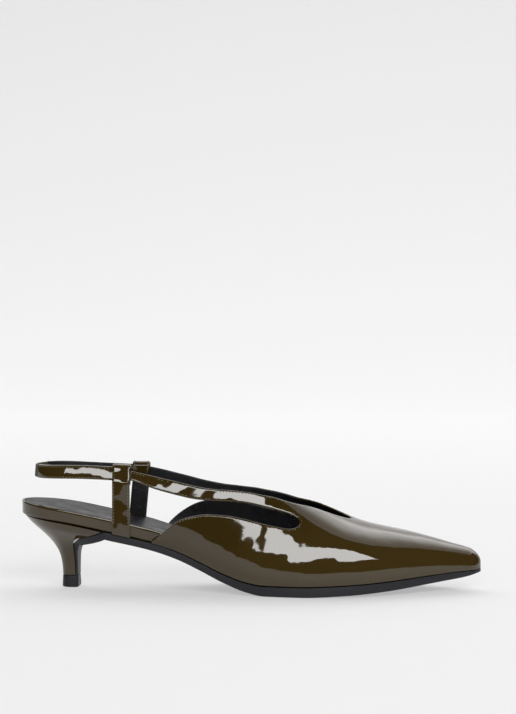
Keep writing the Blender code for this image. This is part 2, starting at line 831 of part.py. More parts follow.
def sling_point(s, side):
    """Sideways place and height of the sling's middle line."""
    join = stay_at[side]
    along = (s - SLING_BACK) / (join - SLING_BACK)
    y = side_strap_middle(join, side) * rounded_end(s - SLING_BACK, SLING_ROUNDING)
    crown = sling_crown[side] * math.sin(math.pi * min(max(along, 0.0), 1.0))
    return y, mix(SLING_HEIGHT_BACK, sling_height[side], along) + crown


def strap_slope(s, side):
    """Inward way of the upper's side strap for each length that it rises."""
    low, high = slot_edges(s, side)[1], top_edge(s, side)
    _, y_low, z_low = section(s, side, low)
    _, y_high, z_high = section(s, side, high)
    return side * (y_low - y_high) / (z_high - z_low)


def sling_slope(s, side):
    """Inward way of the sling for each length that it rises: the side strap's at the join, less behind."""
    join = stay_at[side]
    along = (s - SLING_BACK) / (join - SLING_BACK)
    return mix(SLING_LEAN_SHARE, strap_slope(join, side), along)


def band(name, path, height, thickness, outward, material):
    """Flat band along a path of (s, y, z, slope) points, its long edges eased. Outward is 1 where
    the left of its path is the outer side, or -1."""
    half, wall, edge = height / 2, thickness / 2, BAND_EDGE
    corners = ((-1, -1), (1, -1), (1, 1), (-1, 1))
    profile = []
    for corner, (out, up) in enumerate(corners):
        side_point = (out * wall, up * (half - edge))
        end_point = (out * (wall - edge), up * half)
        profile += [end_point, side_point] if corner % 2 else [side_point, end_point]
    rings = []
    for i, (s, y, z, slope) in enumerate(path):
        before, after = path[max(i - 1, 0)], path[min(i + 1, len(path) - 1)]
        ds, dy = after[0] - before[0], after[1] - before[1]
        size = math.hypot(ds, dy)
        ring = []
        for out, up in profile:
            reach = (out - outward * up * slope) / size
            ring.append(place(s - dy * reach, y + ds * reach, z + up))
        rings.append(ring)
    return loft(name, rings, material)


def build_sling(material):
    """Two covered straps from the joins at the sides, and the elastic between them at the back."""
    for side, name in ((LATERAL, "sling_strap_lateral"), (MEDIAL, "sling_strap_medial")):
        places = spread(stay_at[side] - GAP, SLING_BACK + SLING_ROUNDING, SLING_STATIONS)
        places += [SLING_BACK + SLING_ROUNDING * share for share in reversed(quarter_turn(SLING_TURNS))]
        places = [s for s in places if s > ELASTIC_END] + [ELASTIC_END]
        path = [(s, *sling_point(s, side), sling_slope(s, side)) for s in places]
        band(name, path, BAND_HEIGHT, BAND_THICKNESS, -side, material)
    across = []
    turns = quarter_turn(ELASTIC_TURNS)
    for side, shares in ((LATERAL, turns[::-1]), (MEDIAL, turns[1:])):
        for share in shares:
            s = mix(SLING_BACK, ELASTIC_END - GAP, share)
            across.append((s, *sling_point(s, side), sling_slope(s, side)))
    band("sling_elastic", across, ELASTIC_HEIGHT, ELASTIC_THICKNESS, 1, material)


def stay_line(s, side):
    """Middle line of a stay strap: up from the sole outside the sling, over it and down inside."""
    clear = GAP + STAY_THICKNESS / 2
    s_foot = s - stay_lean[side] * STAY_LEAN_SHARE
    s_band = s + stay_lean[side] * (1 - STAY_LEAN_SHARE)
    foot = outline(s_foot, side) + side * clear
    seam = sole_line(s_foot) + GAP
    rim = board_top(s_foot)
    y_band, z_band = sling_point(min(s_band, stay_at[side]), side)
    slope = sling_slope(s_band, side)
    if s_band > stay_at[side]:
        y_band = side_strap_middle(s_band, side)
        slope = strap_slope(s_band, side)
    half = BAND_THICKNESS / 2 + clear + STAY_EASE
    under = z_band - BAND_HEIGHT / 2 - clear
    crown = z_band + BAND_HEIGHT / 2 + clear + STAY_EASE - half

    def beside(outward, height):
        """Sideways place at a distance from the sling's leaning middle."""
        return y_band + side * (outward - (height - z_band) * slope)

    line = [(foot, seam), (foot, (seam + rim) / 2), (foot, rim)]
    for i in range(1, STAY_RISES + 1):
        share = i / STAY_RISES
        line.append((mix(foot, beside(half, under), share**2), mix(rim, under, share)))
    line.append((beside(half, z_band), z_band))
    middle = beside(0.0, crown + half / 2)
    for i in range(STAY_TURNS + 1):
        angle = math.pi * i / STAY_TURNS
        line.append((middle + side * half * math.cos(angle), crown + half * math.sin(angle)))
    line.append((beside(-half, z_band), z_band))
    for inward, down in STAY_TAIL:
        height = under - clear * down
        line.append((beside(clear * inward - half, height), height))
    return line


def build_stay(name, side, material):
    """Ribbon along the line, with its width along the shoe."""
    rings = []
    for i in range(STAY_STATIONS + 1):
        s = stay_at[side] + STAY_WIDTH * (i / STAY_STATIONS - 1 / 2)
        line = stay_line(s, side)
        foot, crown = line[0][1], max(z for _, z in line)
        left, right = [], []
        for k, (y, z) in enumerate(line):
            before, after = line[max(k - 1, 0)], line[min(k + 1, len(line) - 1)]
            dy, dz = after[0] - before[0], after[1] - before[1]
            size = math.hypot(dy, dz) * 2 / STAY_THICKNESS
            lean = stay_lean[side] * ((z - foot) / (crown - foot) - STAY_LEAN_SHARE)
            left.append(place(s + lean, y + dz / size, z - dy / size))
            right.append(place(s + lean, y - dz / size, z + dy / size))
        rings.append(left + right[::-1])
    return loft(name, rings, material)


# The shoe

for thing in list(bpy.data.objects):
    bpy.data.objects.remove(thing, do_unlink=True)
shoe = bpy.data.collections.new("slingback_pump")
bpy.context.scene.collection.children.link(shoe)

olive_patent = finish("olive_patent", OLIVE, 0.12, 1.0)
black_sole = finish("black_sole", BLACK_SOLE, 0.45)
black_lining = finish("black_lining", BLACK_LINING, 0.60)

build_outsole(black_sole)
build_heel(olive_patent)
build_top_lift(black_sole)
build_board(olive_patent)
build_insole(black_lining)
build_upper(olive_patent)
build_sling(olive_patent)
build_stay("stay_strap_lateral", LATERAL, olive_patent)
build_stay("stay_strap_medial", MEDIAL, olive_patent)
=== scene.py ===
import bisect
import math

import bmesh
import bpy
import numpy as np
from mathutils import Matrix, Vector
from mathutils.bvhtree import BVHTree


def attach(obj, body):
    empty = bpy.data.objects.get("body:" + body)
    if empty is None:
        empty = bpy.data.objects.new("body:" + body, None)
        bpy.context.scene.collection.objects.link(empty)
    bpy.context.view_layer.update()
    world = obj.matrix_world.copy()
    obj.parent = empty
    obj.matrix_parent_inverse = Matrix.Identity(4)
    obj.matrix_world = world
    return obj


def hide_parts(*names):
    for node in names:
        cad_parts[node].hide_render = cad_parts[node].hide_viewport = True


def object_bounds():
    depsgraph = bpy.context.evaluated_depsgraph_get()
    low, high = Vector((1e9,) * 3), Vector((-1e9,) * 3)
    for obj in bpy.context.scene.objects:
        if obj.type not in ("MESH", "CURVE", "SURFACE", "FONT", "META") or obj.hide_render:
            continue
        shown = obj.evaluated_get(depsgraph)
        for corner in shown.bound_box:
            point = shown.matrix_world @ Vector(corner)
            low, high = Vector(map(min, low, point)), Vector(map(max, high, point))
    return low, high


bl_info = {
    "name": "Slingback pump",
    "version": (1, 0, 0),
    "blender": (4, 5, 0),
    "location": "3D View > Sidebar > Shoe",
    "description": "Makes the leather, linings, seams and studio of a slingback pump",
    "category": "Object",
}

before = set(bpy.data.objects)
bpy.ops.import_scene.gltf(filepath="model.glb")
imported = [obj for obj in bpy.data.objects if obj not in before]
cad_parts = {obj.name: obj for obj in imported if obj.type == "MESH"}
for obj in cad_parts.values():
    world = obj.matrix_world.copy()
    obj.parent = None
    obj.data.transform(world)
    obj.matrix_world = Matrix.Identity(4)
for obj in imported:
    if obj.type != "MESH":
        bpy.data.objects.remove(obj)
CAD_LOW, CAD_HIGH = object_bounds()
BODY = "root"
LATERAL, MEDIAL = -1, 1

# Line of the seat and the outsole's top: place, share of the heel's rise, share of the toe
# spring, thickness of the sole as a share of the sole's thickness
SOLE_LINE = (
    (0.00, 1.000, 0.00, 0.80),
    (0.10, 0.905, 0.00, 0.80),
    (0.20, 0.764, 0.00, 0.78),
    (0.30, 0.598, 0.00, 0.75),
    (0.35, 0.480, 0.00, 0.76),
    (0.40, 0.322, 0.00, 0.78),
    (0.45, 0.158, 0.00, 0.84),
    (0.50, 0.040, 0.00, 0.93),
    (0.54, 0.000, 0.00, 1.00),
    (0.62, 0.000, 0.00, 1.00),
    (0.70, 0.000, 0.10, 0.98),
    (0.80, 0.000, 0.33, 0.93),
    (0.90, 0.000, 0.68, 0.76),
    (0.96, 0.000, 0.88, 0.60),
    (1.00, 0.000, 1.00, 0.30),
)

# Outline of the sole: place, half width as a share of half the ball's width, sideways swing of
# its middle as a share of half the ball's width
OUTLINE = (
    (0.00, 0.665, 0.00),
    (0.08, 0.668, 0.00),
    (0.16, 0.668, 0.00),
    (0.24, 0.640, -0.01),
    (0.32, 0.605, -0.04),
    (0.40, 0.615, -0.07),
    (0.48, 0.710, -0.08),
    (0.56, 0.860, -0.065),
    (0.63, 0.955, -0.03),
    (0.69, 0.975, 0.015),
    (0.75, 0.925, 0.055),
    (0.81, 0.760, 0.075),
    (0.87, 0.555, 0.080),
    (0.93, 0.355, 0.080),
    (0.97, 0.250, 0.080),
    (1.00, 0.165, 0.080),
)

# Sections of the last: place, height of its crown above the sole line, fullness of the section,
# sideways place of the crown, bulge of the outer side, bulge of the inner side, height of the
# bulge. Heights are shares of the instep's height, widths are shares of half the ball's width.
LAST = (
    (0.22, 3.200, 0.29, 0.00, 0.080, 0.090, 0.45),
    (0.30, 3.080, 0.51, 0.00, 0.110, 0.130, 0.45),
    (0.38, 2.850, 0.76, 0.00, 0.115, 0.150, 0.54),
    (0.46, 2.420, 0.78, 0.01, 0.095, 0.110, 0.47),
    (0.54, 1.930, 0.72, 0.03, 0.070, 0.080, 0.37),
    (0.61, 1.500, 0.68, 0.05, 0.052, 0.056, 0.31),
    (0.66, 1.255, 0.71, 0.07, 0.054, 0.050, 0.34),
    (0.72, 1.005, 0.74, 0.08, 0.062, 0.054, 0.37),
    (0.79, 0.825, 0.75, 0.08, 0.068, 0.062, 0.38),
    (0.86, 0.668, 0.75, 0.08, 0.058, 0.058, 0.32),
    (0.93, 0.475, 0.72, 0.08, 0.042, 0.042, 0.22),
    (0.97, 0.365, 0.66, 0.08, 0.026, 0.026, 0.15),
    (1.00, 0.280, 0.55, 0.08, 0.000, 0.000, 0.08),
)

# Top line of the upper, as heights above the sole line in shares of the instep's height: place,
# outer side, inner side
TOP_LINE = (
    (0.23, 1.103, 1.077),
    (0.27, 1.112, 1.109),
    (0.32, 1.136, 1.129),
    (0.36, 1.182, 1.165),
    (0.40, 1.255, 1.230),
    (0.45, 1.390, 1.345),
    (0.50, 1.490, 1.430),
    (0.54, 1.476, 1.420),
    (0.58, 1.395, 1.350),
    (0.61, 1.300, 1.290),
    (0.65, 1.200, 1.210),
)

# Side strap: place, its width on the outer side, on the inner side, as shares of the instep's height
SIDE_STRAP = (
    (0.22, 0.150, 0.150),
    (0.26, 0.160, 0.165),
    (0.29, 0.195, 0.197),
    (0.33, 0.218, 0.216),
    (0.37, 0.222, 0.212),
    (0.41, 0.205, 0.205),
    (0.46, 0.187, 0.200),
    (0.52, 0.185, 0.203),
    (0.57, 0.188, 0.198),
    (0.62, 0.155, 0.165),
)

# Upper edge of the quarter: place between its rear corner and the slot's end, height above the
# sole line on the outer side, on the inner side, as shares of the instep's height
QUARTER_EDGE = (
    (0.000, 0.000, 0.000),
    (0.055, 0.160, 0.215),
    (0.115, 0.330, 0.405),
    (0.190, 0.540, 0.600),
    (0.270, 0.700, 0.775),
    (0.350, 0.830, 0.910),
    (0.430, 0.930, 1.020),
    (0.510, 1.000, 1.090),
    (0.600, 1.045, 1.130),
    (0.690, 1.045, 1.130),
    (0.790, 1.008, 1.100),
    (0.890, 0.962, 1.062),
    (1.000, 0.925, 1.035),
)

# Throat: root of the share of the way back from its point, opening on the outer side and on the
# inner side as shares of its half width
THROAT = (
    (0.00, 0.000, 0.000),
    (0.16, 0.195, 0.172),
    (0.34, 0.393, 0.341),
    (0.47, 0.531, 0.470),
    (0.57, 0.616, 0.545),
    (0.68, 0.705, 0.631),
    (0.80, 0.798, 0.728),
    (0.88, 0.873, 0.821),
    (1.00, 0.985, 0.967),
)

# Heel, from the stem's foot up to the seat: level, height of the back and height of the front as
# shares of the way up, place of the front as a share of the way from stem to seat, flare
HEEL_LEVELS = (
    (0.00, 0.000, 0.000, 0.000, 0.000),
    (0.15, 0.130, 0.180, 0.000, 0.012),
    (0.30, 0.270, 0.350, 0.000, 0.050),
    (0.42, 0.385, 0.480, 0.000, 0.112),
    (0.52, 0.480, 0.590, 0.002, 0.195),
    (0.62, 0.585, 0.690, 0.018, 0.320),
    (0.72, 0.690, 0.780, 0.100, 0.475),
    (0.82, 0.795, 0.855, 0.340, 0.660),
    (0.91, 0.895, 0.912, 0.655, 0.840),
    (1.00, 1.000, 1.000, 1.000, 1.000),
)

# End of a stay strap's fold, inward and down, as shares of the strap's distance from the sling
STAY_TAIL = (
    (0.0, -1.0),
    (0.8, 0.4),
    (1.7, 1.3),
)


def size(name, description, default, low=0.0, high=1.0):
    """A length that a user may change."""
    return bpy.props.FloatProperty(
        name=name, description=description, default=default, min=low, max=high,
        precision=5, subtype="DISTANCE", unit="LENGTH",
    )


def share(name, description, default):
    """A share of another size."""
    return bpy.props.FloatProperty(
        name=name, description=description, default=default, min=0.0, max=1.0, precision=3, subtype="FACTOR",
    )


def colour(name, description, default):
    return bpy.props.FloatVectorProperty(
        name=name, description=description, default=default, size=3, min=0.0, max=1.0, subtype="COLOR",
    )


def number(name, description, default, low=0.0, high=1000.0):
    return bpy.props.FloatProperty(name=name, description=description, default=default, min=low, max=high)


def count(name, description, default):
    return bpy.props.IntProperty(name=name, description=description, default=default, min=2, max=400)


class ShoeLastSizes(bpy.types.PropertyGroup):
    """Sizes of the last, the openings and the sole, as in the fixed frame."""

    length: size("Length", "Outside length of the shoe", CAD_HIGH.x - CAD_LOW.x)
    ball_width: size("Ball width", "Width of the sole at the ball", 0.0735)
    seat_width: size("Seat width", "Width of the sole at the seat", 0.0490)
    instep: size("Instep height", "Height that the heights over the sole are shares of", 0.0340)
    heel_rise: size("Heel rise", "Height of the seat above the ball", 0.0368)
    toe_spring: size("Toe spring", "Height of the toe above the ball", 0.0070)
    sole: size("Sole thickness", "Thickness of the outsole under the ball", 0.0055)
    toe_rounding: size("Toe rounding", "Length over which the toe is rounded", 0.0070)
    heel_rounding: size("Heel rounding", "Length over which the seat is rounded", 0.0260)
    wall: size("Wall", "Thickness of the upper with its lining", 0.0014)
    proud: size("Proud", "How far the upper stands out over the sole", 0.0006)
    gap: size("Gap", "Seam between two pieces", 0.0003)
    middle: size("Middle", "Sideways place of the box's middle", 0.00020)
    throat_at: size("Throat", "Place of the throat's point", 0.189)
    throat_half: size("Throat half width", "Half the opening's width behind the throat", 0.0238)
    throat_reach: size("Throat reach", "Length of the throat", 0.0380)
    slot_outer: size("Outer slot end", "Place where the outer slot ends", 0.1614)
    slot_inner: size("Inner slot end", "Place where the inner slot ends", 0.1580)
    slot_rounding: size("Slot rounding", "Length over which a slot's end is rounded", 0.0080)
    quarter_rear: size("Quarter rear", "Place of the quarter's rear corner", 0.0772)


class ShoeTrimSizes(bpy.types.PropertyGroup):
    """Sizes of the heel, the insole and the straps."""

    stem_back: size("Stem back", "Place of the heel stem's back", 0.0233)
    stem_length: size("Stem length", "Length of the heel stem's foot", 0.0083)
    stem_half: size("Stem half width", "Half the width of the heel stem's foot", 0.0053)
    breast_top: size("Breast top", "Place where the heel's front meets the sole", 0.0507)
    breast_clearance: size("Breast clearance", "Seam between heel and sole at the top", 0.0014)
    heel_inset: size("Heel inset", "How far the heel's top stands in from the seat's back", 0.0015)
    flap: size("Flap", "Thickness of the sole's flap on the heel's front", 0.0011)
    flap_from: share("Flap swell from", "Level of the heel where the flap starts to thicken", 0.35)
    flap_to: share("Flap swell to", "Level of the heel where the flap is as thick as the sole", 0.85)
    shank_turn: size("Shank turn", "Length over which the sole's edge turns upright before the heel", 0.0150)
    lift_height: size("Top lift height", "Height of the top lift", 0.0068)
    lift_flare: size("Top lift flare", "How much wider the top lift is at the floor", 0.0003)
    lift_edge: size("Top lift edge", "Rounding of the top lift's lower edge", 0.0009)
    sole_edge: size("Sole edge", "Rounding of the outsole's lower edge", 0.0012)
    board_edge: size("Board edge", "Height of the board's covered edge round the seat", 0.0076)
    board_fore: size("Board thickness", "Thickness of the board under the foot", 0.0022)
    board_foot: size("Board foot", "Rounding of the board's lower edge", 0.0012)
    rim: size("Rim", "Width of the covered rim round the sock", 0.0012)
    rim_edge: size("Rim edge", "Rounding of the rim", 0.0004)
    rim_roll: size("Rim roll", "Rounding of the rim's outer edge round the seat", 0.0016)
    rim_under: size("Rim undercut", "How far the covered edge leans in at its foot", 0.0004)
    rim_from: size("Rim end from", "Place where the rim starts to fade", 0.080)
    rim_to: size("Rim end to", "Place where the rim has faded", 0.100)
    taper_from: size("Taper from", "Place where the board starts to thin", 0.082)
    taper_to: size("Taper to", "Place where the board has thinned", 0.140)
    tuck_from: size("Tuck from", "Place where the board starts to lie inside the wall", 0.073)
    tuck_to: size("Tuck to", "Place where the board lies inside the wall", 0.0785)
    board_tip: size("Board tip", "Distance from the board's tip to the toe", 0.0033)
    sock: size("Sock", "Thickness of the sock", 0.0011)
    dish: size("Seat dish", "Depth of the seat's hollow", 0.0012)
    band_height: size("Sling height", "Height of the covered sling straps", 0.0076)
    band: size("Sling thickness", "Thickness of the covered sling straps", 0.0020)
    elastic_height: size("Elastic height", "Height of the sling's elastic", 0.0070)
    elastic: size("Elastic thickness", "Thickness of the sling's elastic", 0.0015)
    elastic_end: size("Elastic end", "Place where the elastic meets the straps", 0.0122)
    sling_back: size("Sling back", "Place of the sling's back", 0.0084)
    sling_rounding: size("Sling rounding", "Length over which the sling curves", 0.0212)
    sling_rear_level: size("Sling level, back", "Height of the sling's middle at its back", 0.0671)
    sling_outer_level: size("Sling level, outer", "Height of the sling's middle at the outer join", 0.0667)
    sling_inner_level: size("Sling level, inner", "Height of the sling's middle at the inner join", 0.0648)
    sling_crown: size("Sling crown", "Upward bow of the outer sling strap", 0.0008)
    sling_lean: share("Sling lean", "Inward lean of the sling at its back, as a share of its height", 0.08)
    stay_width: size("Stay width", "Width of the stay straps", 0.0100)
    stay: size("Stay thickness", "Thickness of the stay straps", 0.0012)
    stay_ease: size("Stay ease", "Room under a stay's fold for the sling's lean", 0.0003)
    stay_lean_outer: size("Outer stay lean", "Forward lean of the outer stay strap", 0.0002)
    stay_lean_inner: size("Inner stay lean", "Forward lean of the inner stay strap", 0.0033)
    stay_outer: size("Outer stay", "Place of the outer stay strap", 0.0606)
    stay_inner: size("Inner stay", "Place of the inner stay strap", 0.0646)


class ShoeStitchSizes(bpy.types.PropertyGroup):
    """Sizes of the seams."""

    pitch: size("Stitch pitch", "Distance from stitch to stitch", 0.0018)
    length: size("Stitch length", "Length of thread that shows", 0.00125)
    thread: size("Thread", "Thickness of the thread", 0.00046)
    inset: size("Seam inset", "Distance from an edge to its seam", 0.0013)
    strap_inset: size("Strap seam inset", "Distance from a strap's edge to its seam", 0.0010)


class ShoeColours(bpy.types.PropertyGroup):
    """Colours of the finishes."""

    patent: colour("Patent", "Olive of the patent leather", (0.034, 0.0200, 0.0024))
    patent_light: colour("Patent, light", "Olive where the leather is paler", (0.044, 0.0270, 0.0050))
    thread: colour("Thread", "Thread of the seams", (0.240, 0.200, 0.115))
    lining: colour("Lining", "Black of the lining", (0.011, 0.011, 0.013))
    sock: colour("Sock", "Black of the sock", (0.011, 0.011, 0.0135))
    sole: colour("Sole", "Black of the outsole and the top lift", (0.015, 0.015, 0.018))
    elastic: colour("Elastic", "Olive of the sling's elastic", (0.070, 0.062, 0.034))
    floor: colour("Floor", "Colour of the studio floor", (0.80, 0.80, 0.80))


class ShoeStudio(bpy.types.PropertyGroup):
    """Place, tilt and focal length of the camera."""

    lens: number("Lens", "Focal length of the camera in millimetres", 105.74)
    camera_x: size("Camera X", "Camera's place along the shoe", 0.1038, -5.0, 5.0)
    camera_y: size("Camera Y", "Camera's place across the shoe", -1.1865, -5.0, 5.0)
    camera_z: size("Camera Z", "Camera's height", 0.1762, 0.0, 5.0)
    pitch: bpy.props.FloatProperty(
        name="Pitch", description="Camera's tilt from straight down",
        default=math.radians(87.87), subtype="ANGLE", unit="ROTATION",
    )
    yaw: bpy.props.FloatProperty(
        name="Yaw", description="Camera's turn about the vertical",
        default=math.radians(4.78), subtype="ANGLE", unit="ROTATION",
    )


class ShoeFineness(bpy.types.PropertyGroup):
    """Fineness of the meshes."""

    quarter_rows: count("Quarter rows", "Rows of the quarter and the vamp", 26)
    strap_rows: count("Strap rows", "Rows of the side strap", 7)
    slot_stations: count("Slot stations", "Sections along the slot", 46)
    vamp_stations: count("Vamp stations", "Sections along the vamp", 34)
    end_stations: count("End stations", "Sections of a rounded end", 12)
    heel_rings: count("Heel rings", "Rings of the heel", 64)
    heel_points: count("Heel points", "Points of half a heel ring", 28)
    sole_stations: count("Sole stations", "Sections of the outsole and the board", 90)
    corner_steps: count("Corner steps", "Steps of a rounded edge", 4)


# Curves through the tables


def slopes_kept_level(xs, ys):
    """Slopes of a curve that never overshoots its points, so equal neighbours stay level."""
    steps = np.diff(xs)
    chords = np.diff(ys) / steps
    slopes = np.zeros(len(xs))
    slopes[0], slopes[-1] = chords[0], chords[-1]
    for i in range(1, len(xs) - 1):
        before, after = chords[i - 1], chords[i]
        if before * after > 0:
            slopes[i] = 2 * before * after / (before + after)
    return slopes


def slopes_smooth(xs, ys):
    """Slopes of a natural cubic curve, whose bend is continuous."""
    steps = np.diff(xs)
    chords = np.diff(ys) / steps
    rows = len(xs)
    matrix = np.zeros((rows, rows))
    right = np.zeros(rows)
    matrix[0, :2] = 2, 1
    right[0] = 3 * chords[0]
    matrix[-1, -2:] = 1, 2
    right[-1] = 3 * chords[-1]
    for i in range(1, rows - 1):
        matrix[i, i - 1] = steps[i]
        matrix[i, i] = 2 * (steps[i - 1] + steps[i])
        matrix[i, i + 1] = steps[i - 1]
        right[i] = 3 * (steps[i] * chords[i - 1] + steps[i - 1] * chords[i])
    return np.linalg.solve(matrix, right)


def curve(table, column, level=False):
    """The table's column as a function of its first column."""
    xs = [row[0] for row in table]
    ys = [row[column] for row in table]
    slopes = (slopes_kept_level if level else slopes_smooth)(np.array(xs), np.array(ys)).tolist()

    def value(x):
        x = min(max(x, xs[0]), xs[-1])
        i = min(max(bisect.bisect_right(xs, x) - 1, 0), len(xs) - 2)
        h = xs[i + 1] - xs[i]
        t = (x - xs[i]) / h
        return (
            ys[i] * (1 + 2 * t) * (1 - t) ** 2
            + slopes[i] * h * t * (1 - t) ** 2
            + ys[i + 1] * t * t * (3 - 2 * t)
            + slopes[i + 1] * h * t * t * (t - 1)
        )

    return value


def rounded_end(distance, radius):
    """Grows like a quarter circle from 0 at an end to 1 a radius away from it."""
    way = min(max(distance / radius, 0.0), 1.0)
    return math.sqrt(1 - (1 - way) ** 2)


def smoothstep(way):
    way = min(max(way, 0.0), 1.0)
    return way * way * (3 - 2 * way)


def mix(a, b, way):
    return a + (b - a) * way


def quarter_turn(steps):
    """Shares from 0 to 1 that lie close together near 0, as points of a quarter circle do."""
    return [1 - math.cos(math.pi / 2 * i / steps) for i in range(steps + 1)]


def spread(start, end, steps):
    """Equal steps from start up to, but without, end."""
    return [mix(start, end, i / steps) for i in range(steps)]


def closing(end, rounding, steps):
    """Places over the last length before a rounded end, closer together near it."""
    return [end - rounding * way for way in reversed(quarter_turn(steps))]


class Last:
    """Shape of the last. Every piece takes its place from s, the distance from the heel's back."""

    SEAT_SHARE = 0.16
    WAIST_SHARE = 0.46
    NOSE_HEIGHT_SHARE = 0.35
    NOSE_SEAM_SHARE = 0.50
    HALVINGS = 40

    def __init__(self, sizes):
        self.sizes = sizes
        self.length = sizes.length
        self.instep = sizes.instep
        self.half_ball = sizes.ball_width / 2
        self.seat = sizes.seat_width / 2
        self.heel_rise = curve(SOLE_LINE, 1, level=True)
        self.toe_spring = curve(SOLE_LINE, 2, level=True)
        self.sole_share = curve(SOLE_LINE, 3, level=True)
        self.half_width_share = curve(OUTLINE, 1)
        self.swing_share = curve(OUTLINE, 2)
        self.crown_share = curve(LAST, 1)
        self.fullness = curve(LAST, 2)
        self.crown_side = curve(LAST, 3)
        self.bulge = {LATERAL: curve(LAST, 4), MEDIAL: curve(LAST, 5)}
        self.bulge_height = curve(LAST, 6)
        self.top_line = {LATERAL: curve(TOP_LINE, 1), MEDIAL: curve(TOP_LINE, 2)}
        self.strap_width = {LATERAL: curve(SIDE_STRAP, 1), MEDIAL: curve(SIDE_STRAP, 2)}
        self.quarter_edge = {LATERAL: curve(QUARTER_EDGE, 1), MEDIAL: curve(QUARTER_EDGE, 2)}
        self.throat_share = {LATERAL: curve(THROAT, 1), MEDIAL: curve(THROAT, 2)}
        self.slot_end = {LATERAL: sizes.slot_outer, MEDIAL: sizes.slot_inner}

    def place(self, s, y, z):
        """Point of the shoe's own frame, whose origin is below the middle of its box."""
        return (s - self.length / 2, y - self.sizes.middle, z)

    def sole_line(self, s):
        """Height of the outsole's top, which carries on as the heel's top."""
        at = s / self.length
        rise = self.sizes.heel_rise * self.heel_rise(at)
        return self.sizes.sole + rise + self.sizes.toe_spring * self.toe_spring(at)

    def sole_thickness(self, s):
        return self.sizes.sole * self.sole_share(s / self.length)

    def nose(self, s):
        return rounded_end(self.length - s, self.sizes.toe_rounding)

    def half_width(self, s):
        """Half the sole's width, before its ends are rounded."""
        at = s / self.length
        seat = self.seat / (self.half_ball * self.half_width_share(0.0))
        forward = smoothstep((at - self.SEAT_SHARE) / (self.WAIST_SHARE - self.SEAT_SHARE))
        return self.half_ball * self.half_width_share(at) * mix(seat, 1.0, forward)

    def swing(self, s):
        return self.half_ball * self.swing_share(s / self.length)

    def outline(self, s, side):
        """Sideways place of the sole's edge."""
        half = self.half_width(s) * self.nose(s) * rounded_end(s, self.sizes.heel_rounding)
        return self.swing(s) + side * half

    def section(self, s, side, t):
        """Point of the last's surface, from the sole line at t = 0 over to the crown at t = 1."""
        at = s / self.length
        nose = self.nose(s)
        crown = self.instep * self.crown_share(at) * mix(self.NOSE_HEIGHT_SHARE, 1.0, nose)
        middle = self.half_ball * self.crown_side(at)
        edge = self.outline(s, side) + side * self.sizes.proud * nose
        full = self.fullness(at)
        a, b, c, d = (1 - t) ** 3, 3 * t * (1 - t) ** 2, 3 * t * t * (1 - t), t**3
        y = edge * (a + b) + mix(middle, edge, full) * c + middle * d
        z = crown * (full * b + c + d)
        swell = z / (self.instep * self.bulge_height(at))
        y += side * self.half_ball * self.bulge[side](at) * swell * math.exp(1 - swell) * (1 - t) * nose
        return s, y, self.sole_line(s) + z

    def at_height(self, s, side, height):
        """The section's t at a height above the sole line."""
        low, high = 0.0, 1.0
        base = self.sole_line(s)
        for _ in range(self.HALVINGS):
            t = (low + high) / 2
            if self.section(s, side, t)[2] - base < height:
                low = t
            else:
                high = t
        return (low + high) / 2

    def throat_edge(self, s, side):
        """The section's t at the throat's edge, or 1 ahead of the throat's point."""
        sizes = self.sizes
        if s >= sizes.throat_at:
            return 1.0
        back = math.sqrt(min((sizes.throat_at - s) / sizes.throat_reach, 1.0))
        middle = self.half_ball * self.crown_side(s / self.length)
        reach = middle + side * sizes.throat_half * self.throat_share[side](back)
        low, high = 0.0, 1.0
        for _ in range(self.HALVINGS):
            t = (low + high) / 2
            if side * (self.section(s, side, t)[1] - reach) > 0:
                low = t
            else:
                high = t
        return (low + high) / 2

    def top_edge(self, s, side):
        """The section's t at the top line: by height beside the foot, by width at the throat."""
        rear = self.sizes.throat_at - self.sizes.throat_reach
        front = self.sizes.throat_at - self.sizes.throat_reach / 2
        by_height = self.at_height(s, side, self.instep * self.top_line[side](s / self.length))
        if s <= rear:
            return by_height
        return mix(by_height, self.throat_edge(s, side), smoothstep((s - rear) / (front - rear)))

    def slot_edges(self, s, side):
        """The section's t at the quarter's upper edge and at the side strap's lower edge."""
        end = self.slot_end[side]
        back = min(s, end)
        along = max((back - self.sizes.quarter_rear) / (end - self.sizes.quarter_rear), 0.0)
        low = self.instep * self.quarter_edge[side](along)
        top = self.section(back, side, self.top_edge(back, side))[2] - self.sole_line(back)
        high = top - self.instep * self.strap_width[side](back / self.length)
        middle = (low + high) / 2
        open_share = rounded_end(end - back, self.sizes.slot_rounding)
        edges = [self.at_height(back, side, mix(middle, edge, open_share)) for edge in (low, high)]
        ahead = smoothstep((s - end) / (self.length - end))
        return tuple(mix(edge, self.NOSE_SEAM_SHARE, ahead) for edge in edges)


# Meshes


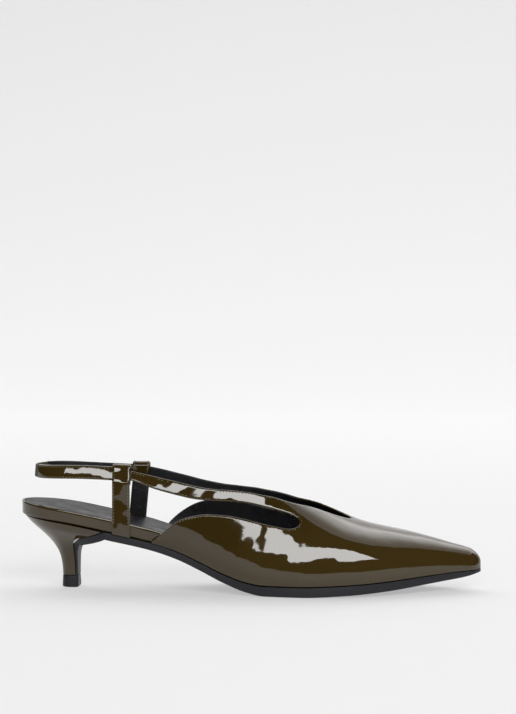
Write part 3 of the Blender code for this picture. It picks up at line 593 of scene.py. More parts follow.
class Maker:
    """Makes the pieces of one shoe from the settings."""

    # Distances that count as none, and the bend that shows as an edge
    WELD = 1e-6
    TINY = 1e-9
    SHARP = math.radians(40)

    # Steps along the upper, the sole, the seat, the sling and the stay straps
    CORNER_STEPS = 9
    THROAT_STEPS = 14
    BREAST_LEVELS = 40
    SOLE_TIP_STEPS = 14
    TURN_ROUNDS = 3
    LIFT_STEPS = 22
    LIFT_EDGE_STEPS = 6
    LIFT_TOP_STEPS = 4
    SEAT_STEPS = 22
    BOARD_TIP_STEPS = 10
    SLING_STEPS = 14
    SLING_BACK_STEPS = 40
    ELASTIC_STEPS = 16
    STAY_STEPS = 16
    STAY_FOOT_STEPS = 4
    STAY_RISES = 24
    STAY_TURNS = 12
    QUARTERS = (0.25, 0.5, 0.75)

    # Upper, heel and sole
    CORNER_SHARE = 0.10
    STEM_ROUNDING_SHARE = 0.85
    FINE_EDGE = 0.0003
    LIFT_ROUNDING_SHARE = 0.50
    LIFT_CORNER_SHARE = 0.84
    ARM_SHARE = 0.48

    # Board and sock: shares of the half width where the hollow is followed
    DISH_SHARES = (-0.8, -0.6, -0.4, -0.2, 0.0, 0.2, 0.4, 0.6, 0.8)
    SOCK_SHARES = (-1.0, -0.97, -0.9, -0.75, -0.6, -0.4, -0.2, 0.0, 0.2, 0.4, 0.6, 0.75, 0.9, 0.97, 1.0)
    RIM_STEP = 0.0002
    CORNER_REACH = 1.4
    EDGE_LIMIT = 0.1
    SOCK_EDGE = 0.0006
    SOCK_EDGE_SHARE = 0.45
    SOCK_LEAST = 1e-7

    # Straps: roundness of their edges, and which of their faces are lined
    BAND_ROUNDNESS = 0.9
    LINED_CENTRE = 0.6
    LINED_FACING = 0.75
    LEAN_SHARE = 0.60
    STAY_EDGE_WAY = 0.07
    STAY_EDGE_SHARE = 0.35
    STAY_LINED_FACING = -0.5
    STAY_LINED_BELOW = 0.0045
    STAY_SEAM_FROM = 3

    # Stitches: points round a thread, rings along it, its dive, rise, thinning and flatness
    SEAM_STEP = 0.0004
    THREAD_POINTS = 6
    THREAD_RINGS = 6
    THREAD_DIVE = -0.55
    THREAD_RISE = 0.12
    THREAD_THIN = 0.55
    THREAD_FLAT = 0.8
    SPAN_LEAST = 1e-12

    def __init__(self, scene):
        self.trim = scene.shoe_trim
        self.stitch = scene.shoe_stitch
        self.fine = scene.shoe_fineness
        self.sizes = scene.shoe_last
        self.last = Last(scene.shoe_last)
        self.scene = scene
        self.back_height = curve(HEEL_LEVELS, 1)
        self.front_height = curve(HEEL_LEVELS, 2)
        self.front_place = curve(HEEL_LEVELS, 3, level=True)
        self.flare = curve(HEEL_LEVELS, 4, level=True)

    def piece(self, name, points, faces, finishes, node=None, outward=True):
        """A piece that rides with the shoe, in place of the node it names."""
        mesh = bpy.data.meshes.new(name)
        mesh.from_pydata(points, [], faces)
        work = bmesh.new()
        work.from_mesh(mesh)
        bmesh.ops.remove_doubles(work, verts=work.verts, dist=self.WELD)
        if outward:
            bmesh.ops.recalc_face_normals(work, faces=work.faces)
        work.to_mesh(mesh)
        work.free()
        for finish in finishes:
            mesh.materials.append(bpy.data.materials[finish])
        mesh.shade_smooth()
        mesh.set_sharp_from_angle(angle=self.SHARP)
        thing = bpy.data.objects.new(name, mesh)
        self.scene.collection.objects.link(thing)
        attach(thing, BODY)
        if node:
            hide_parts(*node)
        return thing

    @staticmethod
    def loft_faces(rings, strip_start=False, strip_cap=False):
        """Faces through rings of equally many points, with the ends filled."""
        around = len(rings[0])
        faces = []
        for r in range(len(rings) - 1):
            for i in range(around):
                j = (i + 1) % around
                a, b = r * around, (r + 1) * around
                faces.append((a + i, a + j, b + j, b + i))
        end = (len(rings) - 1) * around
        for start, strips in ((0, strip_start), (end, strip_cap)):
            if strips:
                for i in range(around // 2):
                    corners = (i, i + 1, around - 2 - i, around - 1 - i)
                    faces.append(tuple(start + corner for corner in dict.fromkeys(corners)))
            else:
                faces.append(tuple(range(start, start + around)))
        return faces

    def loft(self, name, rings, finishes, node=None, strip_start=False, strip_cap=False):
        points = [point for ring in rings for point in ring]
        return self.piece(name, points, self.loft_faces(rings, strip_start, strip_cap), finishes, node)

    def rounded(self, corners):
        """Polygon of (y, z, radius) corners, those with a radius rounded in equally many steps."""
        steps = self.fine.corner_steps
        out = []
        total = len(corners)
        for i, (y, z, radius) in enumerate(corners):
            if radius is None:
                out.append((y, z))
                continue
            before, after = corners[i - 1], corners[(i + 1) % total]
            here = np.array((y, z))
            arms = []
            for other in (before, after):
                arm = np.array(other[:2]) - here
                reach = max(float(np.linalg.norm(arm)), self.TINY)
                arms.append(arm / reach * min(radius, reach * self.ARM_SHARE))
            for k in range(steps + 1):
                u = k / steps
                point = here + arms[0] * (1 - u) ** 2 + arms[1] * u**2
                out.append((float(point[0]), float(point[1])))
        return out

    # The upper

    def upper_places(self, side):
        """Places along the length where the upper's sections stand."""
        fine, sizes = self.fine, self.sizes
        end = self.last.slot_end[side]
        start = {LATERAL: self.trim.stay_outer, MEDIAL: self.trim.stay_inner}[side]
        corner = mix(sizes.quarter_rear, end, self.CORNER_SHARE)
        places = spread(start, sizes.quarter_rear, self.CORNER_STEPS)
        places += spread(sizes.quarter_rear, corner, self.CORNER_STEPS)
        places += spread(corner, end - sizes.slot_rounding, fine.slot_stations)
        places += closing(end, sizes.slot_rounding, fine.end_stations)
        for i in range(1, self.THROAT_STEPS + 1):
            places.append(mix(sizes.throat_at, end, (1 - i / self.THROAT_STEPS) ** 2))
        tip = sizes.length - sizes.toe_rounding
        places += spread(sizes.throat_at, tip, fine.vamp_stations)[1:]
        places += closing(sizes.length, sizes.toe_rounding, fine.end_stations)
        return places

    def upper(self):
        """The open outer skin in a grid: below the slot, above it, and one sheet ahead of it."""
        last, gap = self.last, self.sizes.gap
        points, faces = [], []
        for side in (LATERAL, MEDIAL):
            places = self.upper_places(side)
            lower = [last.slot_edges(s, side) for s in places]
            top = [last.top_edge(s, side) for s in places]
            for zone, rows in ((0, self.fine.quarter_rows), (1, self.fine.strap_rows)):
                first = places.index(self.sizes.quarter_rear) if zone == 0 else 0
                start = len(points)
                for k in range(first, len(places)):
                    bounds = (0.0, lower[k][0]) if zone == 0 else (lower[k][1], top[k])
                    for r in range(rows + 1):
                        s, y, z = last.section(places[k], side, mix(*bounds, r / rows))
                        points.append(last.place(s, y, z + gap))
                for k in range(len(places) - first - 1):
                    for r in range(rows):
                        a = start + k * (rows + 1) + r
                        b = a + rows + 1
                        faces.append((a, b, b + 1, a + 1) if side == LATERAL else (a, a + 1, b + 1, b))
        upper = self.piece(
            "upper_leather", points, faces, ["olive_patent_leather", "black_lining_leather"],
            ["upper"], outward=False,
        )
        upper.data.set_sharp_from_angle(angle=math.pi)
        wall = upper.modifiers.new("wall", "SOLIDIFY")
        wall.thickness = self.sizes.wall
        wall.offset = -1
        wall.use_even_offset = True
        wall.material_offset = 1
        wall.material_offset_rim = 0
        fold = upper.modifiers.new("folded edges", "SUBSURF")
        fold.levels = 1
        fold.render_levels = 1
        return upper

    # Heel, outsole and top lift

    def breast(self, level):
        """Side view of the flap's rear face, which the heel's front meets."""
        trim = self.trim
        foot = trim.lift_height + self.sizes.gap
        s = mix(trim.stem_back + trim.stem_length, trim.breast_top, self.front_place(level))
        return s, mix(foot, self.last.sole_line(trim.breast_top), self.front_height(level))

    def heel_point(self, level, way):
        """Side view of the heel at a level and a share of the way from its back to its front."""
        trim, last = self.trim, self.last
        foot = trim.lift_height + self.sizes.gap
        back_s = mix(trim.stem_back, trim.heel_inset, self.flare(level))
        back_z = mix(foot, last.sole_line(0.0), self.back_height(level))
        front_s, front_z = self.breast(level)
        front_s -= mix(self.sizes.gap, trim.breast_clearance, level)
        s = mix(back_s, front_s, way)
        z = mix(back_z, front_z, way)
        chord = mix(last.sole_line(0.0), last.sole_line(front_s), way)
        return s, z + (last.sole_line(s) - chord) * level**4

    def heel_half(self, level, way, side):
        """Sideways place of the heel's surface."""
        stem = side * self.trim.stem_half * rounded_end(way, self.STEM_ROUNDING_SHARE)
        seat_s = way * (self.trim.breast_top - self.trim.breast_clearance)
        return mix(stem, self.last.outline(seat_s, side), self.flare(level))

    def heel(self):
        rings = []
        ways = quarter_turn(self.fine.heel_points)
        for i in range(self.fine.heel_rings + 1):
            level = i / self.fine.heel_rings
            ring = []
            for side, order in ((LATERAL, ways[::-1]), (MEDIAL, ways[1:])):
                for way in order:
                    s, z = self.heel_point(level, way)
                    ring.append(self.last.place(s, self.heel_half(level, way, side), z))
            rings.append(ring)
        return self.loft(
            "heel_cover", rings, ["olive_patent_leather"], ["heel"],
            strip_start=True, strip_cap=True,
        )

    def sole_ring(self, s, z, forward, down, thickness, low, high):
        """Section of the sole: flat above, its lower edges rounded."""
        half, middle = (high - low) / 2, (high + low) / 2
        edge = min(self.trim.sole_edge, half / 2, thickness / 2)
        fine_edge = min(edge, self.FINE_EDGE)
        corners = (
            (-half, 0.0, fine_edge), (-half, thickness, edge), (0.0, thickness, None),
            (half, thickness, edge), (half, 0.0, fine_edge), (0.0, 0.0, None),
        )
        ring = []
        for y, depth in self.rounded(corners):
            ring.append(self.last.place(s + forward * depth, middle + y, z + down * depth))
        return ring

    def outsole(self):
        """Up the heel's front, round under the seat and forward to the toe."""
        last, trim, sizes = self.last, self.trim, self.sizes
        stations = []
        for i in range(self.BREAST_LEVELS):
            level = i / self.BREAST_LEVELS
            s, z = self.breast(level)
            ends = [self.heel_half(level, 1.0, side) for side in (LATERAL, MEDIAL)]
            swell = smoothstep((level - trim.flap_from) / (trim.flap_to - trim.flap_from))
            thickness = mix(trim.flap, last.sole_thickness(trim.breast_top), swell)
            stations.append((s, z, ends, thickness))
        places = spread(trim.breast_top, sizes.length - sizes.toe_rounding, self.fine.sole_stations)
        places += closing(sizes.length, sizes.toe_rounding, self.SOLE_TIP_STEPS)
        for s in places:
            ends = [last.outline(s, side) for side in (LATERAL, MEDIAL)]
            stations.append((s, last.sole_line(s), ends, last.sole_thickness(s)))
        turns = []
        for i, (s, z, ends, thickness) in enumerate(stations):
            before, after = stations[max(i - 1, 0)], stations[min(i + 1, len(stations) - 1)]
            turns.append(math.atan2(after[1] - before[1], after[0] - before[0]))
            if s > trim.breast_top:
                turns[-1] *= 1 - smoothstep((s - trim.breast_top) / trim.shank_turn)
        for _ in range(self.TURN_ROUNDS):
            inner = [sum(turns[i - 1 : i + 2]) / 3 for i in range(1, len(turns) - 1)]
            turns = [turns[0], *inner, turns[-1]]
        turns[0] = math.pi / 2
        rings = []
        for (s, z, ends, thickness), turn in zip(stations, turns):
            rings.append(self.sole_ring(s, z, math.sin(turn), -math.cos(turn), thickness, *ends))
        return self.loft("outsole_leather", rings, ["black_sole_leather"], ["outsole"])

    def top_lift(self):
        """Block under the stem and the flap, wider at the floor, its lower edge rounded."""
        trim = self.trim
        length = trim.stem_length + trim.flap
        edge, top_edge = trim.lift_edge, self.FINE_EDGE
        levels = []
        for a in np.linspace(0, math.pi / 2, self.LIFT_EDGE_STEPS):
            levels.append((edge * (1 - math.cos(a)), edge * (1 - math.sin(a))))
        levels += [(mix(edge, trim.lift_height - top_edge, u), 0.0) for u in self.QUARTERS]
        for a in np.linspace(0, math.pi / 2, self.LIFT_TOP_STEPS):
            levels.append((trim.lift_height - top_edge * (1 - math.sin(a)), top_edge * (1 - math.cos(a))))
        ways = quarter_turn(self.LIFT_STEPS)
        square = self.LIFT_CORNER_SHARE
        rings = []
        for z, inset in levels:
            grow = trim.lift_flare * (1 - z / trim.lift_height) - inset
            ring = []
            for side, order in ((LATERAL, ways[::-1]), (MEDIAL, ways[1:])):
                for way in order:
                    s = mix(trim.stem_back - grow, trim.stem_back + length + grow, way)
                    half = (trim.stem_half + grow) * rounded_end(way, self.LIFT_ROUNDING_SHARE)
                    corner = mix(square, 1.0, rounded_end(1 - way, 1 - square))
                    ring.append(self.last.place(s, side * half * corner, z))
            rings.append(ring)
        return self.loft(
            "top_lift_block", rings, ["black_lift_rubber"], ["top_lift"],
            strip_start=True, strip_cap=True,
        )

    # Insole board and sock

    def board_side(self, s, side, margin=0.0):
        """Edge of the board: at the sole's outline round the seat, inside the wall ahead of it."""
        trim, sizes, last = self.trim, self.sizes, self.last
        tuck = smoothstep((s - trim.tuck_from) / (trim.tuck_to - trim.tuck_from))
        inset = (sizes.wall + sizes.gap - sizes.proud) * tuck
        heel = rounded_end(s - margin, sizes.heel_rounding - margin)
        toe = rounded_end(sizes.length - trim.board_tip - margin - s, sizes.toe_rounding)
        return last.swing(s) + side * (last.half_width(s) - inset - margin) * heel * toe

    def board_top(self, s):
        trim = self.trim
        along = smoothstep((s - trim.taper_from) / (trim.taper_to - trim.taper_from))
        return self.last.sole_line(s) + self.sizes.gap + mix(trim.board_edge, trim.board_fore, along)

    def recess(self, s):
        """1 where the seat has its rim, fading to 0 ahead of it."""
        return 1 - smoothstep((s - self.trim.rim_from) / (self.trim.rim_to - self.trim.rim_from))

    def inside_rim(self, s, side, clearance):
        return self.board_side(s, side, self.trim.rim * self.recess(s) + clearance)

    def floor_dip(self, s, across):
        """Depth of the seat's hollow below the recess's floor level."""
        back = rounded_end(s - self.trim.rim - self.sizes.gap, self.sizes.heel_rounding)
        return self.trim.dish * self.recess(s) * back * (1 - across * across)

    def board(self):
        trim, sizes, last = self.trim, self.sizes, self.last
        tip = sizes.length - trim.board_tip
        places = [sizes.heel_rounding * way for way in quarter_turn(self.SEAT_STEPS)]
        places = sorted(places + [trim.rim, trim.rim + self.RIM_STEP])
        places += spread(sizes.heel_rounding, tip - sizes.toe_rounding, self.fine.sole_stations)[1:]
        places += closing(tip, sizes.toe_rounding, self.BOARD_TIP_STEPS)
        rings = []
        for s in places:
            low, high = self.board_side(s, LATERAL), self.board_side(s, MEDIAL)
            rim_low, rim_high = self.inside_rim(s, LATERAL, 0.0), self.inside_rim(s, MEDIAL, 0.0)
            bottom = last.sole_line(s) + sizes.gap + trim.board_foot * (1 - rounded_end(s, trim.board_foot))
            top = self.board_top(s)
            limit = (high - low) * self.EDGE_LIMIT
            foot = min(trim.board_foot * self.CORNER_REACH, limit)
            under = min(trim.rim_under, limit) * self.recess(s)
            inside = s > trim.rim
            deep = (trim.sock + sizes.gap) * self.recess(s) if inside else 0.0
            edge = min(mix(trim.rim_edge * self.CORNER_REACH, trim.rim_roll, self.recess(s)), limit)
            rim_low, rim_high = max(rim_low, low + trim.rim_edge), min(rim_high, high - trim.rim_edge)
            middle = (rim_low + rim_high) / 2
            corners = [
                (low + under, bottom, foot), (low, top, edge),
                (rim_low, top, edge / 3), (rim_low, top - deep, None),
            ]
            for across in self.DISH_SHARES:
                dip = self.floor_dip(s, across) if inside else 0.0
                corners.append((middle + across * (rim_high - rim_low) / 2, top - deep - dip, None))
            corners += [
                (rim_high, top - deep, None), (rim_high, top, edge / 3),
                (high, top, edge), (high - under, bottom, foot),
            ]
            rings.append([last.place(s, y, z) for y, z in self.rounded(corners)])
        return self.loft("seat_rand", rings, ["olive_patent_leather"], ["insole_board"])

    def sock_floor(self, s):
        return self.board_top(s) - (self.trim.sock + self.sizes.gap) * self.recess(s) + self.sizes.gap

    def sock(self):
        trim, sizes = self.trim, self.sizes
        start = trim.rim + sizes.gap
        tip = sizes.length - trim.board_tip - sizes.gap
        places = [mix(start, sizes.heel_rounding, way) for way in quarter_turn(self.SEAT_STEPS)]
        places += spread(sizes.heel_rounding, tip - sizes.toe_rounding, self.fine.sole_stations)[1:]
        places += closing(tip, sizes.toe_rounding, self.BOARD_TIP_STEPS)
        shares = self.SOCK_SHARES
        rings = []
        for s in places:
            low, high = self.inside_rim(s, LATERAL, sizes.gap), self.inside_rim(s, MEDIAL, sizes.gap)
            floor = self.sock_floor(s)
            half = max((high - low) / 2, self.SOCK_LEAST)
            ring = []
            for lift, order in ((0.0, shares), (trim.sock, shares[::-1])):
                for across in order:
                    edge = rounded_end((1 - abs(across)) * half, self.SOCK_EDGE) if lift else 1.0
                    z = floor + lift * mix(self.SOCK_EDGE_SHARE, 1.0, edge) - self.floor_dip(s, across)
                    ring.append(self.last.place(s, (low + high) / 2 + across * half, z))
            rings.append(ring)
        return self.loft("sock_leather", rings, ["black_sock_leather"], ["insole"])

    # Sling and stay straps

    def stay_at(self, side):
        return self.trim.stay_outer if side == LATERAL else self.trim.stay_inner

    def side_strap_middle(self, s, side):
        """Middle of the upper's side strap at the sling's join."""
        low, high = self.last.slot_edges(s, side)[1], self.last.top_edge(s, side)
        _, y, _ = self.last.section(s, side, (low + high) / 2)
        return y - side * self.sizes.wall / 2

    def sling_point(self, s, side):
        """Sideways place and height of the sling's middle line."""
        trim = self.trim
        join = self.stay_at(side)
        along = (s - trim.sling_back) / (join - trim.sling_back)
        y = self.side_strap_middle(join, side) * rounded_end(s - trim.sling_back, trim.sling_rounding)
        level = trim.sling_outer_level if side == LATERAL else trim.sling_inner_level
        crown = trim.sling_crown if side == LATERAL else 0.0
        bow = crown * math.sin(math.pi * min(max(along, 0.0), 1.0))
        return y, mix(trim.sling_rear_level, level, along) + bow

    def strap_slope(self, s, side):
        """Inward way of the upper's side strap for each length that it rises."""
        low, high = self.last.slot_edges(s, side)[1], self.last.top_edge(s, side)
        _, y_low, z_low = self.last.section(s, side, low)
        _, y_high, z_high = self.last.section(s, side, high)
        return side * (y_low - y_high) / (z_high - z_low)

    def sling_slope(self, s, side):
        """Inward way of the sling for each length it rises: the side strap's at the join, less behind."""
        join, back = self.stay_at(side), self.trim.sling_back
        return mix(self.trim.sling_lean, self.strap_slope(join, side), (s - back) / (join - back))

    def band(self, name, path, height, thickness, outward, finishes, node, slot):
        """Flat band along a path of (s, y, z, slope) points, its long edges rounded.

        Outward is 1 where the left of the path is the band's outer side, or -1.
        """
        half, wall = height / 2, thickness / 2
        edge = wall * self.BAND_ROUNDNESS
        corners = (
            (-wall, -half, edge), (wall, -half, edge), (wall, 0.0, None),
            (wall, half, edge), (-wall, half, edge), (-wall, 0.0, None),
        )
        profile = self.rounded(corners)
        rings = []
        for i, (s, y, z, slope) in enumerate(path):
            before, after = path[max(i - 1, 0)], path[min(i + 1, len(path) - 1)]
            ds, dy = after[0] - before[0], after[1] - before[1]
            ring = []
            for out, up in profile:
                reach = (out - outward * up * slope) / math.hypot(ds, dy)
                ring.append(self.last.place(s - dy * reach, y + ds * reach, z + up))
            rings.append(ring)
        thing = self.loft(name, rings, finishes, node)
        if len(finishes) > 1:
            centre = self.trim.stay_outer * self.LINED_CENTRE - self.sizes.length / 2
            for face in thing.data.polygons:
                inward = Vector((centre - face.center.x, -face.center.y, 0.0))
                if inward.normalized().dot(face.normal) > self.LINED_FACING:
                    face.material_index = 1
        return thing

    def sling_places(self, side):
        trim = self.trim
        start = self.stay_at(side) - self.sizes.gap
        places = spread(start, trim.sling_back + trim.sling_rounding, self.SLING_STEPS)
        for way in reversed(quarter_turn(self.SLING_BACK_STEPS)):
            places.append(trim.sling_back + trim.sling_rounding * way)
        return [s for s in places if s > trim.elastic_end] + [trim.elastic_end]

    def sling_path(self, places, side):
        """The sling's middle line, with its lean, at the places."""
        return [(s, *self.sling_point(s, side), self.sling_slope(s, side)) for s in places]

    def sling(self):
        """Two covered straps from the joins at the sides, and the elastic between them at the back."""
        trim = self.trim
        for side, name in ((LATERAL, "sling_strap_lateral"), (MEDIAL, "sling_strap_medial")):
            path = self.sling_path(self.sling_places(side), side)
            self.band(
                name.replace("sling_strap", "sling_leather"), path, trim.band_height, trim.band, -side,
                ["olive_patent_leather", "black_strap_lining"], [name], "olive_patent",
            )
        across = []
        ways = quarter_turn(self.ELASTIC_STEPS)
        for side, order in ((LATERAL, ways[::-1]), (MEDIAL, ways[1:])):
            places = [mix(trim.sling_back, trim.elastic_end - self.sizes.gap, way) for way in order]
            across += self.sling_path(places, side)
        self.band(
            "sling_elastic_cover", across, trim.elastic_height, trim.elastic, 1,
            ["olive_elastic"], ["sling_elastic"], "olive_patent",
        )

    def stay_line(self, s, side):
        """Middle line of a stay strap: up from the sole outside the sling, over it and down inside."""
        trim = self.trim
        clear = self.sizes.gap + trim.stay / 2
        lean = trim.stay_lean_outer if side == LATERAL else trim.stay_lean_inner
        s_foot, s_band = s - lean * self.LEAN_SHARE, s + lean * (1 - self.LEAN_SHARE)
        foot = self.last.outline(s_foot, side) + side * clear
        seam = self.last.sole_line(s_foot) + self.sizes.gap
        rim = self.board_top(s_foot)
        y_band, z_band = self.sling_point(min(s_band, self.stay_at(side)), side)
        slope = self.sling_slope(s_band, side)
        if s_band > self.stay_at(side):
            y_band = self.side_strap_middle(s_band, side)
            slope = self.strap_slope(s_band, side)
        half = trim.band / 2 + clear + trim.stay_ease
        under = z_band - trim.band_height / 2 - clear
        crown = z_band + trim.band_height / 2 + clear + trim.stay_ease - half

        def beside(outward, height):
            """Sideways place at a distance from the sling's leaning middle."""
            return y_band + side * (outward - (height - z_band) * slope)

        steps = self.STAY_FOOT_STEPS
        line = [(foot, mix(seam, rim, k / steps)) for k in range(steps + 1)]
        for i in range(1, self.STAY_RISES + 1):
            way = i / self.STAY_RISES
            line.append((mix(foot, beside(half, under), way**2), mix(rim, under, way)))
        middle = beside(0.0, crown + half / 2)
        for way in self.QUARTERS:
            line.append((mix(beside(half, under), middle + side * half, way), mix(under, crown, way)))
        for i in range(self.STAY_TURNS + 1):
            angle = math.pi * i / self.STAY_TURNS
            line.append((middle + side * half * math.cos(angle), crown + half * math.sin(angle)))
        line.append((beside(-half, z_band), z_band))
        for inward, down in STAY_TAIL:
            height = under - clear * down
            line.append((beside(clear * inward - half, height), height))
        return line

    def stay_frame(self, side, way):
        """Points and outward directions of a stay strap's middle surface at a share of its width."""
        trim = self.trim
        s = self.stay_at(side) + trim.stay_width * (way - 0.5)
        line = self.stay_line(s, side)
        foot, crown = line[0][1], max(z for _, z in line)
        lean_size = trim.stay_lean_outer if side == LATERAL else trim.stay_lean_inner
        out = []
        for k, (y, z) in enumerate(line):
            before, after = line[max(k - 1, 0)], line[min(k + 1, len(line) - 1)]
            dy, dz = after[0] - before[0], after[1] - before[1]
            reach = math.hypot(dy, dz)
            lean = lean_size * ((z - foot) / (crown - foot) - self.LEAN_SHARE)
            out.append(((s + lean, y, z), (side * dz / reach, -side * dy / reach)))
        return out

    def stay(self, side):
        """Ribbon along the line, its width along the shoe, its edges rounded."""
        half = self.trim.stay / 2
        rings = []
        for i in range(self.STAY_STEPS + 1):
            way = i / self.STAY_STEPS
            edge = rounded_end(min(way, 1 - way), self.STAY_EDGE_WAY)
            thick = half * mix(self.STAY_EDGE_SHARE, 1.0, edge)
            left, right = [], []
            for (s, y, z), (ny, nz) in self.stay_frame(side, way):
                left.append(self.last.place(s, y + ny * thick, z + nz * thick))
                right.append(self.last.place(s, y - ny * thick, z - nz * thick))
            rings.append(left + right[::-1])
        name = "stay_strap_lateral" if side == LATERAL else "stay_strap_medial"
        thing = self.loft(
            name.replace("stay_strap", "stay_leather"), rings, ["olive_patent_leather", "black_strap_lining"],
            [name], strip_start=True, strip_cap=True,
        )
        lined_below = self.sling_point(self.stay_at(side), side)[1] - self.STAY_LINED_BELOW
        for face in thing.data.polygons:
            if face.normal.y * side < self.STAY_LINED_FACING and face.center.z < lined_below:
                face.material_index = 1
        return thing

    # Seams

    def skin_line(self, side, edge):
        """Points along an edge of the upper: 0 the quarter's, 1 the side strap's lower, 2 the top line."""
        last = self.last
        end = last.slot_end[side] if edge < 2 else self.sizes.throat_at
        places = [s for s in self.upper_places(side) if s <= end]
        if edge == 0:
            places = [s for s in places if s >= self.sizes.quarter_rear]
        line = []
        for s in places:
            t = last.top_edge(s, side) if edge == 2 else last.slot_edges(s, side)[edge]
            _, y, z = last.section(s, side, t)
            line.append(Vector(last.place(s, y, z + self.sizes.gap)))
        return line

    @staticmethod
    def even(line, step):
        """The line's points at equal distances."""
        points = [Vector(point) for point in line]
        reach = [0.0]
        for a, b in zip(points, points[1:]):
            reach.append(reach[-1] + (b - a).length)
        steps = max(int(reach[-1] / step), 2)
        out = []
        for i in range(steps + 1):
            at = reach[-1] * i / steps
            k = min(max(bisect.bisect_right(reach, at) - 1, 0), len(points) - 2)
            span = max(reach[k + 1] - reach[k], Maker.SPAN_LEAST)
            out.append(points[k].lerp(points[k + 1], (at - reach[k]) / span))
        return out

    def inset_line(self, line, skin, inset):
        """The line moved from its edge into the leather, with the skin's normals."""
        points = self.even(line, self.SEAM_STEP)
        out = []
        for i, point in enumerate(points):
            before, after = points[max(i - 2, 0)], points[min(i + 2, len(points) - 1)]
            ahead = (after - before).normalized()
            _, normal, _, _ = skin.find_nearest(point)
            inward = normal.cross(ahead).normalized()
            spot, normal, _, away = skin.find_nearest(point + inward * inset)
            other = skin.find_nearest(point - inward * inset)
            if other[3] < away:
                spot, normal = other[0], other[1]
            out.append((spot, normal))
        return out

    def stitches(self, name, tracks):
        """Threads along tracks of (point, normal) pairs, each diving into the leather at its ends."""
        stitch = self.stitch
        around, rings = self.THREAD_POINTS, self.THREAD_RINGS
        points, faces = [], []
        for track in tracks:
            reach = [0.0]
            for (a, _), (b, _) in zip(track, track[1:]):
                reach.append(reach[-1] + (b - a).length)
            total = int(reach[-1] / stitch.pitch)
            for n in range(total):
                start = (n + 0.5) * stitch.pitch - stitch.length / 2
                first = len(points)
                for k in range(rings + 1):
                    at = start + stitch.length * k / rings
                    i = min(max(bisect.bisect_right(reach, at) - 1, 0), len(track) - 2)
                    way = (at - reach[i]) / max(reach[i + 1] - reach[i], self.SPAN_LEAST)
                    here = track[i][0].lerp(track[i + 1][0], way)
                    up = track[i][1].lerp(track[i + 1][1], way).normalized()
                    ahead = (track[i + 1][0] - track[i][0]).normalized()
                    side = ahead.cross(up).normalized()
                    arch = math.sin(math.pi * k / rings)
                    lift = stitch.thread * mix(self.THREAD_DIVE, self.THREAD_RISE, arch)
                    thick = stitch.thread / 2 * mix(self.THREAD_THIN, 1.0, arch)
                    for j in range(around):
                        angle = 2 * math.pi * j / around
                        rise = math.sin(angle) * thick * self.THREAD_FLAT + lift
                        offset = side * math.cos(angle) * thick + up * rise
                        points.append(here + offset)
                for k in range(rings):
                    for j in range(around):
                        a, b = first + k * around, first + (k + 1) * around
                        faces.append((a + j, a + (j + 1) % around, b + (j + 1) % around, b + j))
                faces.append(tuple(range(first + around - 1, first - 1, -1)))
                faces.append(tuple(range(first + rings * around, first + (rings + 1) * around)))
        return self.piece(name, points, faces, ["olive_thread"], None)

    def upper_seams(self, upper):
        """Seams along the slots' edges and along the top line round the throat."""
        skin = BVHTree.FromObject(upper, bpy.context.evaluated_depsgraph_get())
        inset = self.stitch.inset
        tracks = []
        for side in (LATERAL, MEDIAL):
            slot = self.skin_line(side, 0) + self.skin_line(side, 1)[::-1]
            tracks.append(self.inset_line(slot, skin, inset))
        top = self.skin_line(LATERAL, 2) + self.skin_line(MEDIAL, 2)[::-1]
        tracks.append(self.inset_line(top, skin, inset))
        return self.stitches("upper_seams", tracks)

    def sling_seams(self):
        """Seams along both edges of the sling straps, on their outer face."""
        trim = self.trim
        tracks = []
        for side in (LATERAL, MEDIAL):
            places = [s for s in self.sling_places(side) if s < self.stay_at(side) - trim.stay_width / 2]
            path = self.sling_path(places, side)
            for edge in (-1, 1):
                track = []
                for i, (s, y, z, slope) in enumerate(path):
                    before, after = path[max(i - 1, 0)], path[min(i + 1, len(path) - 1)]
                    normal = Vector((after[1] - before[1], before[0] - after[0], 0.0)).normalized()
                    normal *= 1 if normal.y * side > 0 else -1
                    up = edge * (trim.band_height / 2 - self.stitch.strap_inset)
                    point = Vector(self.last.place(s, y, z + up)) + normal * (trim.band / 2 - up * slope)
                    track.append((point, normal))
                tracks.append(track)
        return self.stitches("sling_seams", tracks)

    def stay_seams(self):
        """Seams along both edges of the stay straps, from the rand up and over the sling."""
        tracks = []
        inset = self.stitch.strap_inset / self.trim.stay_width
        for side in (LATERAL, MEDIAL):
            for way in (inset, 1 - inset):
                track = []
                for (s, y, z), (ny, nz) in self.stay_frame(side, way)[self.STAY_SEAM_FROM:]:
                    normal = Vector((0.0, ny, nz))
                    point = Vector(self.last.place(s, y, z)) + normal * self.trim.stay / 2
                    track.append((point, normal))
                tracks.append(track)
        return self.stitches("stay_seams", tracks)


# Shaders


